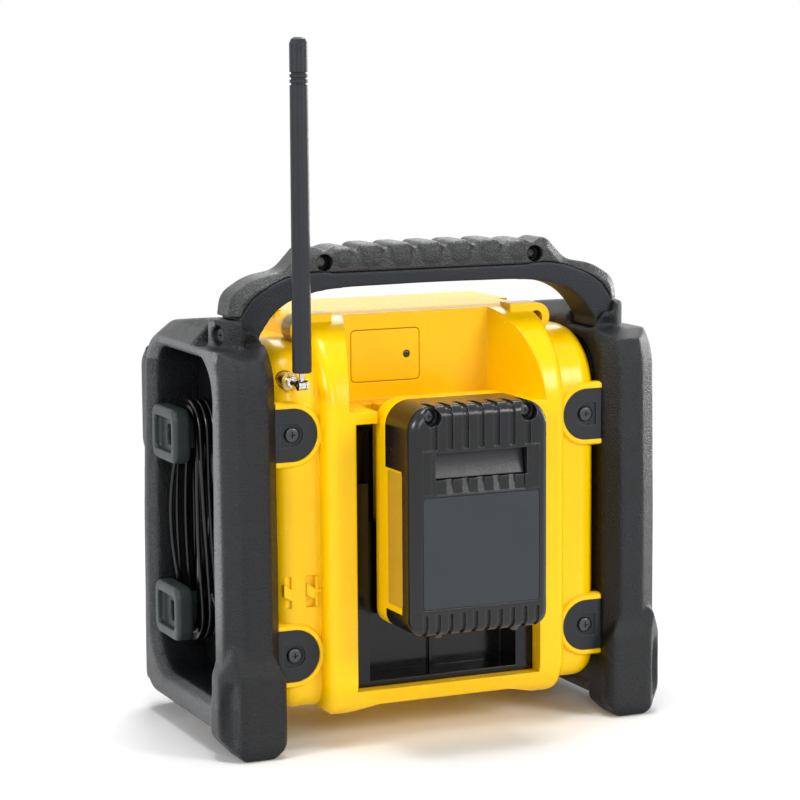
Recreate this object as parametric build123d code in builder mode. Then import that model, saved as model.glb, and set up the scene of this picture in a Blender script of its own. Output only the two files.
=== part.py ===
from build123d import *
from math import atan, degrees, radians, tan
import os

# Jobsite radio with a slide-on battery pack, a rod antenna and a cord wound on side hooks.
# Millimetres. +Z is up, the front (speakers) faces -Y, the back (battery) faces +Y.
# The origin is the middle of the footprint, on the surface that the feet stand on.

# ---------------------------------------------------------------------------------------
# Driving sizes
# ---------------------------------------------------------------------------------------
FIT = 0.2                    # gap all round a piece that sits in a seat
RUNNING = 0.05               # radial gap of a turning fit
SLIDING = 0.5                # gap beside a piece that slides or turns freely
WALL = 3.0                   # moulded wall

# housing (two shells that meet at SPLIT_Y)
HOUSING_HALF = 91.0          # half the width across its side walls
HOUSING_BASE = 20.0
SPLIT_Y = -22.0
FRONT_Y = -70.0              # front wall of the front shell
SHOULDER_Y = 38.7            # back face of the shoulders
SHOULDER_TOP = 205.5
SHOULDER_R = 34.0
COLUMN_Y = 48.5              # back crest of the two columns
COLUMN_TOP = 216.5
COLUMN_R = 50.0
COLUMN_HALF = HOUSING_HALF - 24.0   # outer side of the columns
CREST_R = 6.0
CORNER_R = 12.0              # lower corners of the housing
BULGE_DROP = 5.0             # how far the column bottoms hang below the base

# upper recess between the columns
RECESS_Y = 8.0
RECESS_HALF = 41.0
SHELF_Z = 171.0
RECESS_WALL = 4.0
RECESS_FLARE = 14.0          # how much the recess widens towards the back

# battery bay
BAY_HALF = 51.2
BAY_BASE = 28.6
BAY_TOP = 164.9
BAY_FLOOR_Y = 22.0
STRIP_W = 10.0
STRIP_Y = 40.0
STRIP_TOP = 134.0
RAIL_IN = 25.0               # half the slot between the two rails
RAIL_Y = 32.0
RAIL_T = 6.0
RAIL_BASE = 66.0
PACK_TRAVEL = 48.0

# battery pack
PACK_HALF = 38.0
PACK_BASE = 62.0
PACK_TOP = 177.0
PACK_Y = 85.6                # label face
PACK_JOINT_Y = 54.0          # where the black case meets the yellow one
PACK_SEAT_Y = 41.0
PACK_WALL = 2.6
CELL_R = 9.0
CELL_L = 65.0
CELL_COUNT = 5

# side frames
FRAME_BACK_Y = 50.0
FRAME_FRONT_Y = -85.0
FRAME_TOP = 215.5
FRAME_BASE = 5.5
RIM_X = HOUSING_HALF + 30.6
RIM_ROUND = 5.0              # rounding of the opening's outer edge
RIM_BEVEL = 8.0
RIM_BEVEL_X = 11.0
INNER_BEVEL_X = 7.0
BACK_BAR = 21.0
FRONT_BAR = 20.0
TOP_BAR = 17.8
BASE_BAR = 20.8
FOOT_Y = 52.5
FOOT_X = RIM_X + 2.9
FRONT_Y_MAX = -86.0
PANEL_T = 3.0

# lugs that tie the frames to the housing
LUG_X = HOUSING_HALF - 9.0
LUG_R = 13.2
LUG_T = 3.0
LUG_HEIGHTS = (160.7, 49.0)
LUG_RIM = 2.3
LUG_RIM_RISE = 2.0

# handle
HANDLE_Y0 = 2.0
HANDLE_Y1 = 28.0
HANDLE_TOP = 252.4
HANDLE_SEAT = FRAME_TOP - 11.5
LEG_OUT = HOUSING_HALF + 13.3
LEG_IN = HOUSING_HALF + 2.8
GRIP_PROUD = 0.4
HANDLE_HOLE_X = LEG_OUT - 45.7
HANDLE_HOLE_R = 2.75
BUMP_COUNT = 7
BUMP_PITCH = 2 * (HANDLE_HOLE_X - 0.85) / BUMP_COUNT
BUMP_RISE = 2.6
EAR_TOP = FRAME_TOP + 2.9
EAR_X = HOUSING_HALF + 21.3

# antenna
ANTENNA_X = HOUSING_HALF - 8.4
ANTENNA_Z = 187.5
MAST_Y = 55.5
SLEEVE_R = 4.8
SLEEVE_BASE = 193.7
ANTENNA_TOP = 356.0

# cord hooks and lead on the right side (+X)
HOOK_Y = -42.4
HOOK_HEIGHTS = (153.0, 60.0)
HOOK_HALF_Y = 18.2
HOOK_HALF_Z = 14.2
HOOK_HEAD_T = 10.0
POST_HALF = 7.5
CORD_W = 4.6                 # width of the flat lead
HANK_IN = 10.8
HANK_OUT = 18.3
HANK_X0 = HOUSING_HALF + 5.0
HANK_X1 = HANK_X0 + 14.0

# front panel
PANEL_HALF = HOUSING_HALF - 5.0
PANEL_Z0 = 28.0
PANEL_Z1 = 198.0
SPEAKER_X = PANEL_HALF / 2 - 3.0
SPEAKER_Z = 77.0
SPEAKER_R = SPEAKER_X - 4.0
SLOT_COUNT = 9
SLOT_H = 3.0
KNOB_X = PANEL_HALF - 22.0
KNOB_Z = 160.0
KNOB_R = 14.0
KNOB_FRONT_Y = -84.5
SHAFT_R = 3.0
LCD_HALF_X = 33.0
LCD_HALF_Z = 13.0
LCD_Z = 173.0
BUTTON_W = 10.0
BUTTON_H = 7.0
BUTTON_PITCH = 13.5
BUTTON_Z = 145.0
BUTTON_TRAVEL = 1.2
DOOR_W = 26.0
DOOR_H = 20.0
DOOR_Z = 116.0

SIDES = (1, -1)


def across(y):
    """A sketch plane that faces front and back, at depth y: sketch x is X, sketch y is Z."""
    return Plane.XZ.offset(-y)


def side_on(x):
    """A sketch plane that faces sideways at x: sketch x is Y, sketch y is Z."""
    return Plane.YZ.offset(x)


def lug_outline(side, height, radius, reach):
    """A D shape in sketch X and Z: round towards the middle, straight out to the frame."""
    with BuildSketch() as outline:
        with Locations((side * LUG_X, height)):
            Circle(radius)
        with Locations((side * (LUG_X + reach) / 2, height)):
            Rectangle(reach - LUG_X, 2 * radius)
        with Locations((side * (LUG_X - radius + reach) / 2, height)):
            Rectangle(reach - LUG_X + radius, 2 * radius, mode=Mode.INTERSECT)
    return outline.sketch


def cavity_outline(top):
    """The housing's inner outline up to a height, in sketch X and Z."""
    base = HOUSING_BASE + WALL
    with BuildSketch() as outline:
        with Locations((0, (base + top) / 2)):
            Rectangle(2 * (HOUSING_HALF - WALL), top - base)
        fillet(outline.vertices().group_by(Axis.Y)[0], CORNER_R - WALL)
    return outline.sketch


def turned(x, z):
    """A sketch plane through a front-to-back axis: sketch x is the radius, sketch y is Y."""
    return Plane(origin=(x, 0, z), x_dir=(1, 0, 0), z_dir=(0, 0, 1))


def depth_axis(x, z):
    """The front-to-back axis through a point of the front."""
    return Axis((x, 0, z), (0, 1, 0))


def keep(piece, node):
    """Labels a finished piece and writes it as its own STEP file."""
    piece.label = node
    export_step(piece, f"parts/{node}.step")


os.makedirs("parts", exist_ok=True)

# ---------------------------------------------------------------------------------------
# Rear housing
# ---------------------------------------------------------------------------------------
recess_mouth = RECESS_HALF + RECESS_FLARE
pad_y = SHOULDER_Y + LUG_RIM_RISE
EAR_BOSS_X = COLUMN_HALF - 1.5
EAR_BOSS_Y, EAR_BOSS_R, EAR_BOSS_L = 16.0, 7.6, 12.0
EAR_BOSS_Z = COLUMN_TOP - 6.5
COVER_X, COVER_Z, COVER_W, COVER_H, COVER_T = 17.4, 193.7, 38.0, 26.4, 2.0
COVER_SCREW_X = 5.4
COVER_GAP = 0.35
CLIP_Z, CLIP_H = 81.0, 16.0
HOLDER_W, HOLDER_H, HOLDER_DEPTH = 24.0, 22.0, 9.0
HOLDER_X = COVER_X + 4.0
bay_back_y = BAY_FLOOR_Y - WALL - FIT / 2

with BuildPart() as lug_rims:
    for side in SIDES:
        for height in LUG_HEIGHTS:
            for y, rise, taper in ((SHOULDER_Y - 4, 4, 0), (SHOULDER_Y, LUG_RIM_RISE, 25)):
                with BuildSketch(across(y)):
                    add(lug_outline(side, height, LUG_R + LUG_RIM + 1, HOUSING_HALF + 5))
                extrude(amount=-rise, taper=taper)
    with BuildSketch():
        Rectangle(2 * HOUSING_HALF, 4 * SHOULDER_Y)
    extrude(amount=SHOULDER_TOP, mode=Mode.INTERSECT)

with BuildPart() as rear_housing:
    # the two columns and the block between them
    with BuildSketch(side_on(-COLUMN_HALF)):
        with BuildLine():
            FilletPolyline(
                (SPLIT_Y, HOUSING_BASE),
                (6.0, HOUSING_BASE),
                (14.0, HOUSING_BASE - BULGE_DROP),
                (COLUMN_Y - 9.0, HOUSING_BASE - BULGE_DROP),
                (COLUMN_Y, HOUSING_BASE + 10.0),
                (COLUMN_Y, COLUMN_TOP),
                (SPLIT_Y, COLUMN_TOP),
                radius=(0, 6.0, 6.0, 14.0, 14.0, COLUMN_R, 0),
                close=True,
            )
        make_face()
    extrude(amount=2 * COLUMN_HALF)
    outer_crests = rear_housing.edges().filter_by(
        lambda e: abs(abs(e.center().X) - COLUMN_HALF) < 0.01 and e.center().Y > SHOULDER_Y - 4
        and e.center().Z > HOUSING_BASE + 12
    )
    fillet(outer_crests, CREST_R)
    # their outer bottoms, cut at a slant
    with BuildSketch(across(COLUMN_Y + 1)):
        for side in SIDES:
            with BuildLine():
                Polyline(
                    (side * (COLUMN_HALF + 1), HOUSING_BASE + 1),
                    (side * COLUMN_HALF, HOUSING_BASE),
                    (side * (COLUMN_HALF - 7), HOUSING_BASE - BULGE_DROP),
                    (side * (COLUMN_HALF - 7), HOUSING_BASE - 2 * BULGE_DROP),
                    (side * (COLUMN_HALF + 1), HOUSING_BASE - 2 * BULGE_DROP),
                    close=True,
                )
            make_face()
    extrude(amount=COLUMN_Y + 1 - SPLIT_Y, mode=Mode.SUBTRACT)
    # the shoulders
    with BuildSketch(side_on(-HOUSING_HALF)):
        with BuildLine():
            FilletPolyline(
                (SPLIT_Y, HOUSING_BASE),
                (SHOULDER_Y, HOUSING_BASE),
                (SHOULDER_Y, SHOULDER_TOP),
                (SPLIT_Y, SHOULDER_TOP),
                radius=(0, CORNER_R, SHOULDER_R, 0),
                close=True,
            )
        make_face()
    extrude(amount=2 * HOUSING_HALF)
    base_corners = rear_housing.edges().filter_by(Axis.Y).filter_by(
        lambda e: abs(abs(e.center().X) - HOUSING_HALF) < 0.01 and e.center().Z < HOUSING_BASE + 1
    )
    fillet(base_corners, CORNER_R)
    # the middle of the underside stays at the base level between the columns
    bulge_in, bulge_low = BAY_HALF - 14.0, BAY_HALF + 5.0
    with BuildSketch(across(COLUMN_Y + 1)):
        with BuildLine():
            FilletPolyline(
                (-bulge_low, HOUSING_BASE - 3 * BULGE_DROP),
                (bulge_low, HOUSING_BASE - 3 * BULGE_DROP),
                (bulge_low, HOUSING_BASE - BULGE_DROP),
                (bulge_in, HOUSING_BASE),
                (-bulge_in, HOUSING_BASE),
                (-bulge_low, HOUSING_BASE - BULGE_DROP),
                radius=(0, 0, 0, 16, 16, 0),
                close=True,
            )
        make_face()
    extrude(amount=COLUMN_Y + 1 - SPLIT_Y, mode=Mode.SUBTRACT)
    # upper recess with walls that flare towards the back
    with BuildSketch(Plane.XY.offset(SHELF_Z)):
        with BuildLine():
            Polyline(
                (-RECESS_HALF, RECESS_Y),
                (RECESS_HALF, RECESS_Y),
                (recess_mouth, COLUMN_Y + 1),
                (-recess_mouth, COLUMN_Y + 1),
                close=True,
            )
        make_face()
    extrude(amount=COLUMN_TOP - SHELF_Z + 1, mode=Mode.SUBTRACT)
    # battery bay, open at the top where the pack slides out
    with BuildSketch(across(COLUMN_Y + 1)):
        with Locations((0, (BAY_BASE + BAY_TOP) / 2)):
            Rectangle(2 * BAY_HALF, BAY_TOP - BAY_BASE)
    extrude(amount=COLUMN_Y + 1 - bay_back_y, mode=Mode.SUBTRACT)
    with BuildSketch(across(COLUMN_Y + 1)):
        with Locations((0, BAY_TOP)):
            Rectangle(2 * (PACK_HALF + 1.5), 3 * (SHELF_Z - BAY_TOP))
    extrude(amount=COLUMN_Y + 1 - BAY_FLOOR_Y, mode=Mode.SUBTRACT)
    # raised rims round the lug seats, the handle-side bosses and their screw holes
    add(lug_rims.part)
    for side in SIDES:
        with BuildSketch(across(pad_y)):
            for height in LUG_HEIGHTS:
                add(lug_outline(side, height, LUG_R + FIT, HOUSING_HALF + 1))
        extrude(amount=LUG_T + 0.5, mode=Mode.SUBTRACT)
        # handle-side boss on an arm that grows out of the column's top
        with BuildSketch(across(EAR_BOSS_Y)):
            with Locations((side * EAR_BOSS_X, EAR_BOSS_Z)):
                Circle(EAR_BOSS_R)
            with Locations((side * (EAR_BOSS_X - EAR_BOSS_R), EAR_BOSS_Z)):
                Rectangle(2 * EAR_BOSS_R, 2 * EAR_BOSS_R)
        extrude(amount=EAR_BOSS_L)
        with BuildSketch(across(EAR_BOSS_Y)):
            with Locations((side * EAR_BOSS_X, EAR_BOSS_Z)):
                Circle(3.4)
        extrude(amount=EAR_BOSS_L - 3, mode=Mode.SUBTRACT)
    # inside: one broad cavity, deeper below the recess, and a pocket behind each shoulder
    for back, top in ((RECESS_Y - RECESS_WALL, SHOULDER_TOP - WALL), (bay_back_y - WALL, BAY_TOP - WALL)):
        with BuildSketch(across(SPLIT_Y)):
            add(cavity_outline(top))
        extrude(amount=SPLIT_Y - back, mode=Mode.SUBTRACT)
    with BuildSketch(across(SPLIT_Y)):
        with Locations((0, (SHOULDER_TOP + COLUMN_TOP) / 2 - WALL)):
            Rectangle(2 * (COLUMN_HALF - EAR_BOSS_R), COLUMN_TOP - SHOULDER_TOP)
    extrude(amount=SPLIT_Y - RECESS_Y + RECESS_WALL, mode=Mode.SUBTRACT)
    pocket_x0, pocket_x1 = BAY_HALF + 6, HOUSING_HALF - WALL
    with BuildSketch(Plane.XY.offset(HOUSING_BASE + CORNER_R)):
        for side in SIDES:
            with Locations((side * (pocket_x0 + pocket_x1) / 2, (bay_back_y + SHOULDER_Y) / 2 - 6)):
                Rectangle(pocket_x1 - pocket_x0, SHOULDER_Y - bay_back_y)
    extrude(amount=SHOULDER_TOP - SHOULDER_R - HOUSING_BASE - CORNER_R, mode=Mode.SUBTRACT)
    # seat of the backup-battery cover and the hole behind it
    with BuildSketch(across(RECESS_Y + 1)):
        with Locations((COVER_X, COVER_Z)):
            RectangleRounded(COVER_W + 2 * COVER_GAP, COVER_H + 2 * COVER_GAP, 2.6)
    extrude(amount=COVER_T + 1, mode=Mode.SUBTRACT)
    with BuildSketch(across(RECESS_Y)):
        with Locations((HOLDER_X, COVER_Z)):
            Rectangle(HOLDER_W + 2 * FIT, HOLDER_H + 2 * FIT)
        with Locations((COVER_SCREW_X, COVER_Z)):
            Circle(1.2)
    extrude(amount=RECESS_WALL + 1, mode=Mode.SUBTRACT)
    # antenna socket hole
    with BuildSketch(across(SHOULDER_Y + 1)):
        with Locations((ANTENNA_X, ANTENNA_Z)):
            Circle(4.2 + FIT)
    extrude(amount=12, mode=Mode.SUBTRACT)
    # moulded clips on the antenna side's shoulder
    with BuildSketch(across(SHOULDER_Y)):
        with Locations((LUG_X + 3, CLIP_Z), (COLUMN_HALF + 5.8, CLIP_Z)):
            Rectangle(4.4, CLIP_H)
    extrude(amount=1.8, mode=Mode.SUBTRACT)
    with BuildSketch(across(SHOULDER_Y + 0.9)):
        for x in (LUG_X + 3, COLUMN_HALF + 5.8):
            with BuildLine():
                Polyline((x - 2.2, CLIP_Z + 1.6), (x + 2.2, CLIP_Z + 4.4), (x + 2.2, CLIP_Z - 1.8), (x - 2.2, CLIP_Z - 4.2), close=True)
            make_face()
        with Locations((COLUMN_HALF + 2.6, CLIP_Z)):
            Rectangle(1.6, CLIP_H)
        with Locations((COLUMN_HALF - 0.5, CLIP_Z)):
            Rectangle(8, 1.6)
    extrude(amount=2.7)
    # bosses for the main board on the wall behind the bay
    with BuildSketch(across(bay_back_y - WALL)):
        with Locations((-38, 92), (38, 92), (-38, 144), (38, 144)):
            Circle(3)
    extrude(amount=4)
keep(rear_housing.part, "rear_housing")

# ---------------------------------------------------------------------------------------
# Front housing and its panel
# ---------------------------------------------------------------------------------------
panel_y = FRONT_Y - WALL
WINDOW_LIP = 6.0
GRILLE_R = SPEAKER_R + 1.0
GRILLE_RISE = 5.0
GRILLE_T = 1.6
button_xs = [(i - 2.5) * BUTTON_PITCH for i in range(6)]
BOARD_GAP = 5.0
DOOR_T = 2.2
DOOR_PIN_R = 1.0
DOOR_SINK = 0.7              # how far the door lies behind the panel's face
door_axis_y = panel_y + DOOR_SINK + DOOR_T / 2
door_axis_z = DOOR_Z - DOOR_H / 2 + 1.6
TUB_Y = FRONT_Y + 12.0
TUB_WALL = 2.0
JACK_R = 4.5

with BuildPart() as front_housing:
    with BuildSketch(across(SPLIT_Y)):
        with Locations((0, (HOUSING_BASE + SHOULDER_TOP) / 2)):
            Rectangle(2 * HOUSING_HALF, SHOULDER_TOP - HOUSING_BASE)
        with Locations((0, (HOUSING_BASE + COLUMN_TOP) / 2)):
            Rectangle(2 * COLUMN_HALF, COLUMN_TOP - HOUSING_BASE)
    extrude(amount=SPLIT_Y - FRONT_Y)
    low_corners = front_housing.edges().filter_by(Axis.Y).group_by(Axis.Z)[0]
    fillet(low_corners, CORNER_R)
    fillet(front_housing.edges().group_by(Axis.Y)[0], CREST_R)
    with BuildSketch(across(SPLIT_Y)):
        add(cavity_outline(SHOULDER_TOP - WALL))
    extrude(amount=SPLIT_Y - FRONT_Y - WALL, mode=Mode.SUBTRACT)
    with BuildSketch(across(SPLIT_Y)):
        with Locations((0, (PANEL_Z0 + PANEL_Z1) / 2)):
            Rectangle(2 * (PANEL_HALF - WINDOW_LIP), PANEL_Z1 - PANEL_Z0 - 2 * WINDOW_LIP)
    extrude(amount=SPLIT_Y - FRONT_Y + 1, mode=Mode.SUBTRACT)
keep(front_housing.part, "front_housing")

with BuildPart() as front_panel:
    with BuildSketch(across(FRONT_Y)):
        with Locations((0, (PANEL_Z0 + PANEL_Z1) / 2)):
            RectangleRounded(2 * PANEL_HALF, PANEL_Z1 - PANEL_Z0, 10)
    extrude(amount=WALL)
    fillet(front_panel.edges().group_by(Axis.Y)[0], 1.5)
    # a rib that locates the panel in the window
    rib_w = 2 * (PANEL_HALF - WINDOW_LIP - FIT)
    rib_h = PANEL_Z1 - PANEL_Z0 - 2 * (WINDOW_LIP + FIT)
    with BuildSketch(across(FRONT_Y)):
        with Locations((0, (PANEL_Z0 + PANEL_Z1) / 2)):
            Rectangle(rib_w, rib_h)
            Rectangle(rib_w - 2 * WALL, rib_h - 2 * WALL, mode=Mode.SUBTRACT)
    extrude(amount=-2 * WALL)
    # bosses for the button board
    with BuildSketch(across(FRONT_Y)):
        with GridLocations(6.2 * BUTTON_PITCH, 2 * BUTTON_H, 2, 2):
            with Locations((0, BUTTON_Z)):
                Circle(2.2)
    extrude(amount=-BOARD_GAP)
    # tub behind the auxiliary-input door
    with BuildSketch(across(FRONT_Y)):
        with Locations((0, DOOR_Z)):
            Rectangle(DOOR_W + 2 * TUB_WALL + 2 * FIT, DOOR_H + 2 * TUB_WALL)
    extrude(amount=FRONT_Y - TUB_Y)
    with BuildSketch(across(panel_y)):
        with Locations((0, DOOR_Z)):
            Rectangle(DOOR_W + 2 * FIT, DOOR_H)
    extrude(amount=panel_y - TUB_Y + TUB_WALL, mode=Mode.SUBTRACT)
    with BuildSketch(side_on(-DOOR_W / 2 - 1.7)):
        with Locations((door_axis_y, door_axis_z)):
            Circle(DOOR_PIN_R + RUNNING)
    extrude(amount=DOOR_W + 3.4, mode=Mode.SUBTRACT)
    # speaker holes with the grilles' seats
    with BuildSketch(across(FRONT_Y)):
        with Locations((SPEAKER_X, SPEAKER_Z), (-SPEAKER_X, SPEAKER_Z)):
            Circle(GRILLE_R - 3)
        with Locations((0, LCD_Z)):
            Rectangle(2 * LCD_HALF_X, 2 * LCD_HALF_Z)
        with Locations(*((x, BUTTON_Z) for x in button_xs)):
            RectangleRounded(BUTTON_W + 0.6, BUTTON_H + 0.6, 2.3)
        with Locations((KNOB_X, KNOB_Z), (-KNOB_X, KNOB_Z)):
            Circle(SHAFT_R + 1)
    extrude(amount=WALL, mode=Mode.SUBTRACT)
    with BuildSketch(across(TUB_Y)):
        with Locations((0, DOOR_Z)):
            Circle(JACK_R - 1)
    extrude(amount=TUB_WALL, mode=Mode.SUBTRACT)
    with BuildSketch(across(panel_y)):
        with Locations((SPEAKER_X, SPEAKER_Z), (-SPEAKER_X, SPEAKER_Z)):
            Circle(GRILLE_R + FIT)
    extrude(amount=-WALL / 2, mode=Mode.SUBTRACT)
keep(front_panel.part, "front_panel")

with BuildPart() as speaker_grilles:
    for side in SIDES:
        with BuildSketch(turned(side * SPEAKER_X, SPEAKER_Z)):
            with BuildLine():
                seat_y = panel_y + WALL / 2
                Polyline((0, panel_y - GRILLE_RISE + GRILLE_T), (0, panel_y - GRILLE_RISE))
                ThreePointArc(
                    (0, panel_y - GRILLE_RISE),
                    (GRILLE_R * 0.55, panel_y - GRILLE_RISE * 0.78),
                    (GRILLE_R - 2, panel_y - 0.8),
                )
                Polyline(
                    (GRILLE_R - 2, panel_y - 0.8),
                    (GRILLE_R, panel_y - 0.4),
                    (GRILLE_R, seat_y),
                    (GRILLE_R - 3.2, seat_y),
                    (GRILLE_R - 3.2, panel_y + 0.4),
                )
                ThreePointArc(
                    (GRILLE_R - 3.2, panel_y + 0.4),
                    (GRILLE_R * 0.52, panel_y - GRILLE_RISE * 0.78 + GRILLE_T),
                    (0, panel_y - GRILLE_RISE + GRILLE_T),
                )
            make_face()
        revolve(axis=depth_axis(side * SPEAKER_X, SPEAKER_Z))
    slot_pitch = 2 * (GRILLE_R - 7) / SLOT_COUNT
    with BuildSketch(across(panel_y + 1)):
        for side in SIDES:
            for i in range(SLOT_COUNT):
                rise = (i - (SLOT_COUNT - 1) / 2) * slot_pitch
                chord = 2 * ((GRILLE_R - 5) ** 2 - rise**2) ** 0.5
                with Locations((side * SPEAKER_X, SPEAKER_Z + rise)):
                    SlotOverall(chord, SLOT_H)
    extrude(amount=GRILLE_RISE + 3, mode=Mode.SUBTRACT)
keep(speaker_grilles.part, "speaker_grilles")

with BuildPart() as speaker_baskets:
    for side in SIDES:
        with BuildSketch(turned(side * SPEAKER_X, SPEAKER_Z)):
            with BuildLine():
                Polyline(
                    (SPEAKER_R - 5, FRONT_Y),
                    (SPEAKER_R, FRONT_Y),
                    (SPEAKER_R, FRONT_Y + 2.4),
                    (SPEAKER_R - 2.5, FRONT_Y + 2.4),
                    (SPEAKER_R - 12, FRONT_Y + 20),
                    (SPEAKER_R - 12, FRONT_Y + 36),
                    (0, FRONT_Y + 36),
                    (0, FRONT_Y + 24),
                    (SPEAKER_R - 16, FRONT_Y + 24),
                    (SPEAKER_R - 16, FRONT_Y + 20),
                    (SPEAKER_R - 5, FRONT_Y + 2.4),
                    close=True,
                )
            make_face()
        revolve(axis=depth_axis(side * SPEAKER_X, SPEAKER_Z))
keep(speaker_baskets.part, "speaker_baskets")

with BuildPart() as speaker_cones:
    for side in SIDES:
        with BuildSketch(turned(side * SPEAKER_X, SPEAKER_Z)):
            with BuildLine():
                Polyline(
                    (SPEAKER_R - 5.4, FRONT_Y + 0.3),
                    (SPEAKER_R - 5.4, FRONT_Y + 1.6),
                    (SPEAKER_R - 7, FRONT_Y + 1.8),
                    (9, FRONT_Y + 17),
                    (0, FRONT_Y + 17),
                    (0, FRONT_Y + 12),
                    (5, FRONT_Y + 12.8),
                    (9, FRONT_Y + 15.2),
                    (SPEAKER_R - 7.4, FRONT_Y + 0.5),
                    close=True,
                )
            make_face()
        revolve(axis=depth_axis(side * SPEAKER_X, SPEAKER_Z))
keep(speaker_cones.part, "speaker_cones")

with BuildPart() as lcd_lens:
    with BuildSketch(across(panel_y)):
        with Locations((0, LCD_Z)):
            Rectangle(2 * (LCD_HALF_X - FIT), 2 * (LCD_HALF_Z - FIT))
    extrude(amount=-(WALL - 0.5))
keep(lcd_lens.part, "lcd_lens")

with BuildPart() as lcd_module:
    with BuildSketch(across(FRONT_Y)):
        with Locations((0, LCD_Z)):
            Rectangle(2 * (LCD_HALF_X + 3), 2 * (LCD_HALF_Z + 2))
    extrude(amount=-4)
keep(lcd_module.part, "lcd_module")

with BuildPart() as button_board:
    with BuildSketch(across(FRONT_Y + BOARD_GAP)):
        with Locations((0, BUTTON_Z)):
            Rectangle(6.8 * BUTTON_PITCH, 3 * BUTTON_H)
    extrude(amount=-1.6)
keep(button_board.part, "button_board")

BUTTON_NAMES = ("power", "band", "menu", "preset_1", "preset_2", "preset_3")
for name, x in zip(BUTTON_NAMES, button_xs):
    with BuildPart() as button:
        with BuildSketch(across(FRONT_Y + 0.3)):
            with Locations((x, BUTTON_Z)):
                RectangleRounded(BUTTON_W, BUTTON_H, 2)
        extrude(amount=WALL + 0.3 + 2.2)
        fillet(button.edges().group_by(Axis.Y)[0], 0.8)
        with BuildSketch(across(FRONT_Y + 0.3)):
            with Locations((x, BUTTON_Z)):
                Rectangle(BUTTON_W + 2, BUTTON_H + 2)
        extrude(amount=-1.2)
        with BuildSketch(across(FRONT_Y + 1.5)):
            with Locations((x, BUTTON_Z)):
                Rectangle(3, 3)
        extrude(amount=-(BOARD_GAP - 1.5 - BUTTON_TRAVEL - 0.4))
    keep(button.part, f"{name}_button")

for name, x in (("volume", KNOB_X), ("tuning", -KNOB_X)):
    shaft_front = KNOB_FRONT_Y + 3.0
    knob_back = panel_y - SLIDING
    with BuildPart() as knob:
        with BuildSketch(across(knob_back)):
            with Locations((x, KNOB_Z)):
                Circle(KNOB_R)
        extrude(amount=knob_back - KNOB_FRONT_Y)
        fillet(knob.edges().group_by(Axis.Y)[0], 2)
        with BuildSketch(across(knob_back - 3)):
            with Locations((x, KNOB_Z)):
                with PolarLocations(KNOB_R + 1.1, 12):
                    Circle(2.4)
        extrude(amount=knob_back - KNOB_FRONT_Y, mode=Mode.SUBTRACT)
        with BuildSketch(across(knob_back)):
            with Locations((x, KNOB_Z)):
                Circle(SHAFT_R + RUNNING)
        extrude(amount=knob_back - shaft_front, mode=Mode.SUBTRACT)
    keep(knob.part, f"{name}_knob")
    with BuildPart() as shaft:
        with BuildSketch(across(FRONT_Y + 4)):
            with Locations((x, KNOB_Z)):
                Circle(SHAFT_R)
        extrude(amount=FRONT_Y + 4 - shaft_front - FIT)
    keep(shaft.part, f"{name}_shaft")
    with BuildPart() as control:
        with BuildSketch(across(FRONT_Y)):
            with Locations((x, KNOB_Z)):
                RectangleRounded(17, 17, 2)
        extrude(amount=-9)
        with BuildSketch(across(FRONT_Y)):
            with Locations((x, KNOB_Z)):
                Circle(SHAFT_R + RUNNING)
        extrude(amount=-4.3, mode=Mode.SUBTRACT)
    keep(control.part, f"{name}_control")

with BuildPart() as aux_door:
    with BuildSketch(side_on(-DOOR_W / 2 + FIT)):
        with Locations((door_axis_y, door_axis_z)):
            Circle(DOOR_T / 2)
        with Locations((door_axis_y, (door_axis_z + DOOR_Z + DOOR_H / 2 - FIT) / 2)):
            Rectangle(DOOR_T, DOOR_Z + DOOR_H / 2 - FIT - door_axis_z)
    extrude(amount=DOOR_W - 2 * FIT)
    fillet(aux_door.edges().filter_by(Axis.Y).group_by(Axis.Z)[-1], 2)
    # finger lip at the top
    with BuildSketch(across(door_axis_y - DOOR_T / 2)):
        with Locations((0, DOOR_Z + DOOR_H / 2 - 2.4)):
            RectangleRounded(12, 2.4, 1)
    extrude(amount=DOOR_SINK + 0.8)
    with BuildSketch(side_on(-DOOR_W / 2 - 1.5)):
        with Locations((door_axis_y, door_axis_z)):
            Circle(DOOR_PIN_R)
    extrude(amount=DOOR_W + 3)
keep(aux_door.part, "aux_door")

with BuildPart() as aux_jack:
    with BuildSketch(across(TUB_Y)):
        with Locations((0, DOOR_Z)):
            Circle(JACK_R - 1 - FIT)
    extrude(amount=TUB_WALL + 1)
    with BuildSketch(across(TUB_Y)):
        with Locations((0, DOOR_Z)):
            RectangleRounded(2 * JACK_R + 1, 2 * JACK_R, 1)
    extrude(amount=-9)
    with BuildSketch(across(TUB_Y - TUB_WALL - 1)):
        with Locations((0, DOOR_Z)):
            Circle(1.8)
    extrude(amount=-9, mode=Mode.SUBTRACT)
keep(aux_jack.part, "aux_jack")

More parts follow.
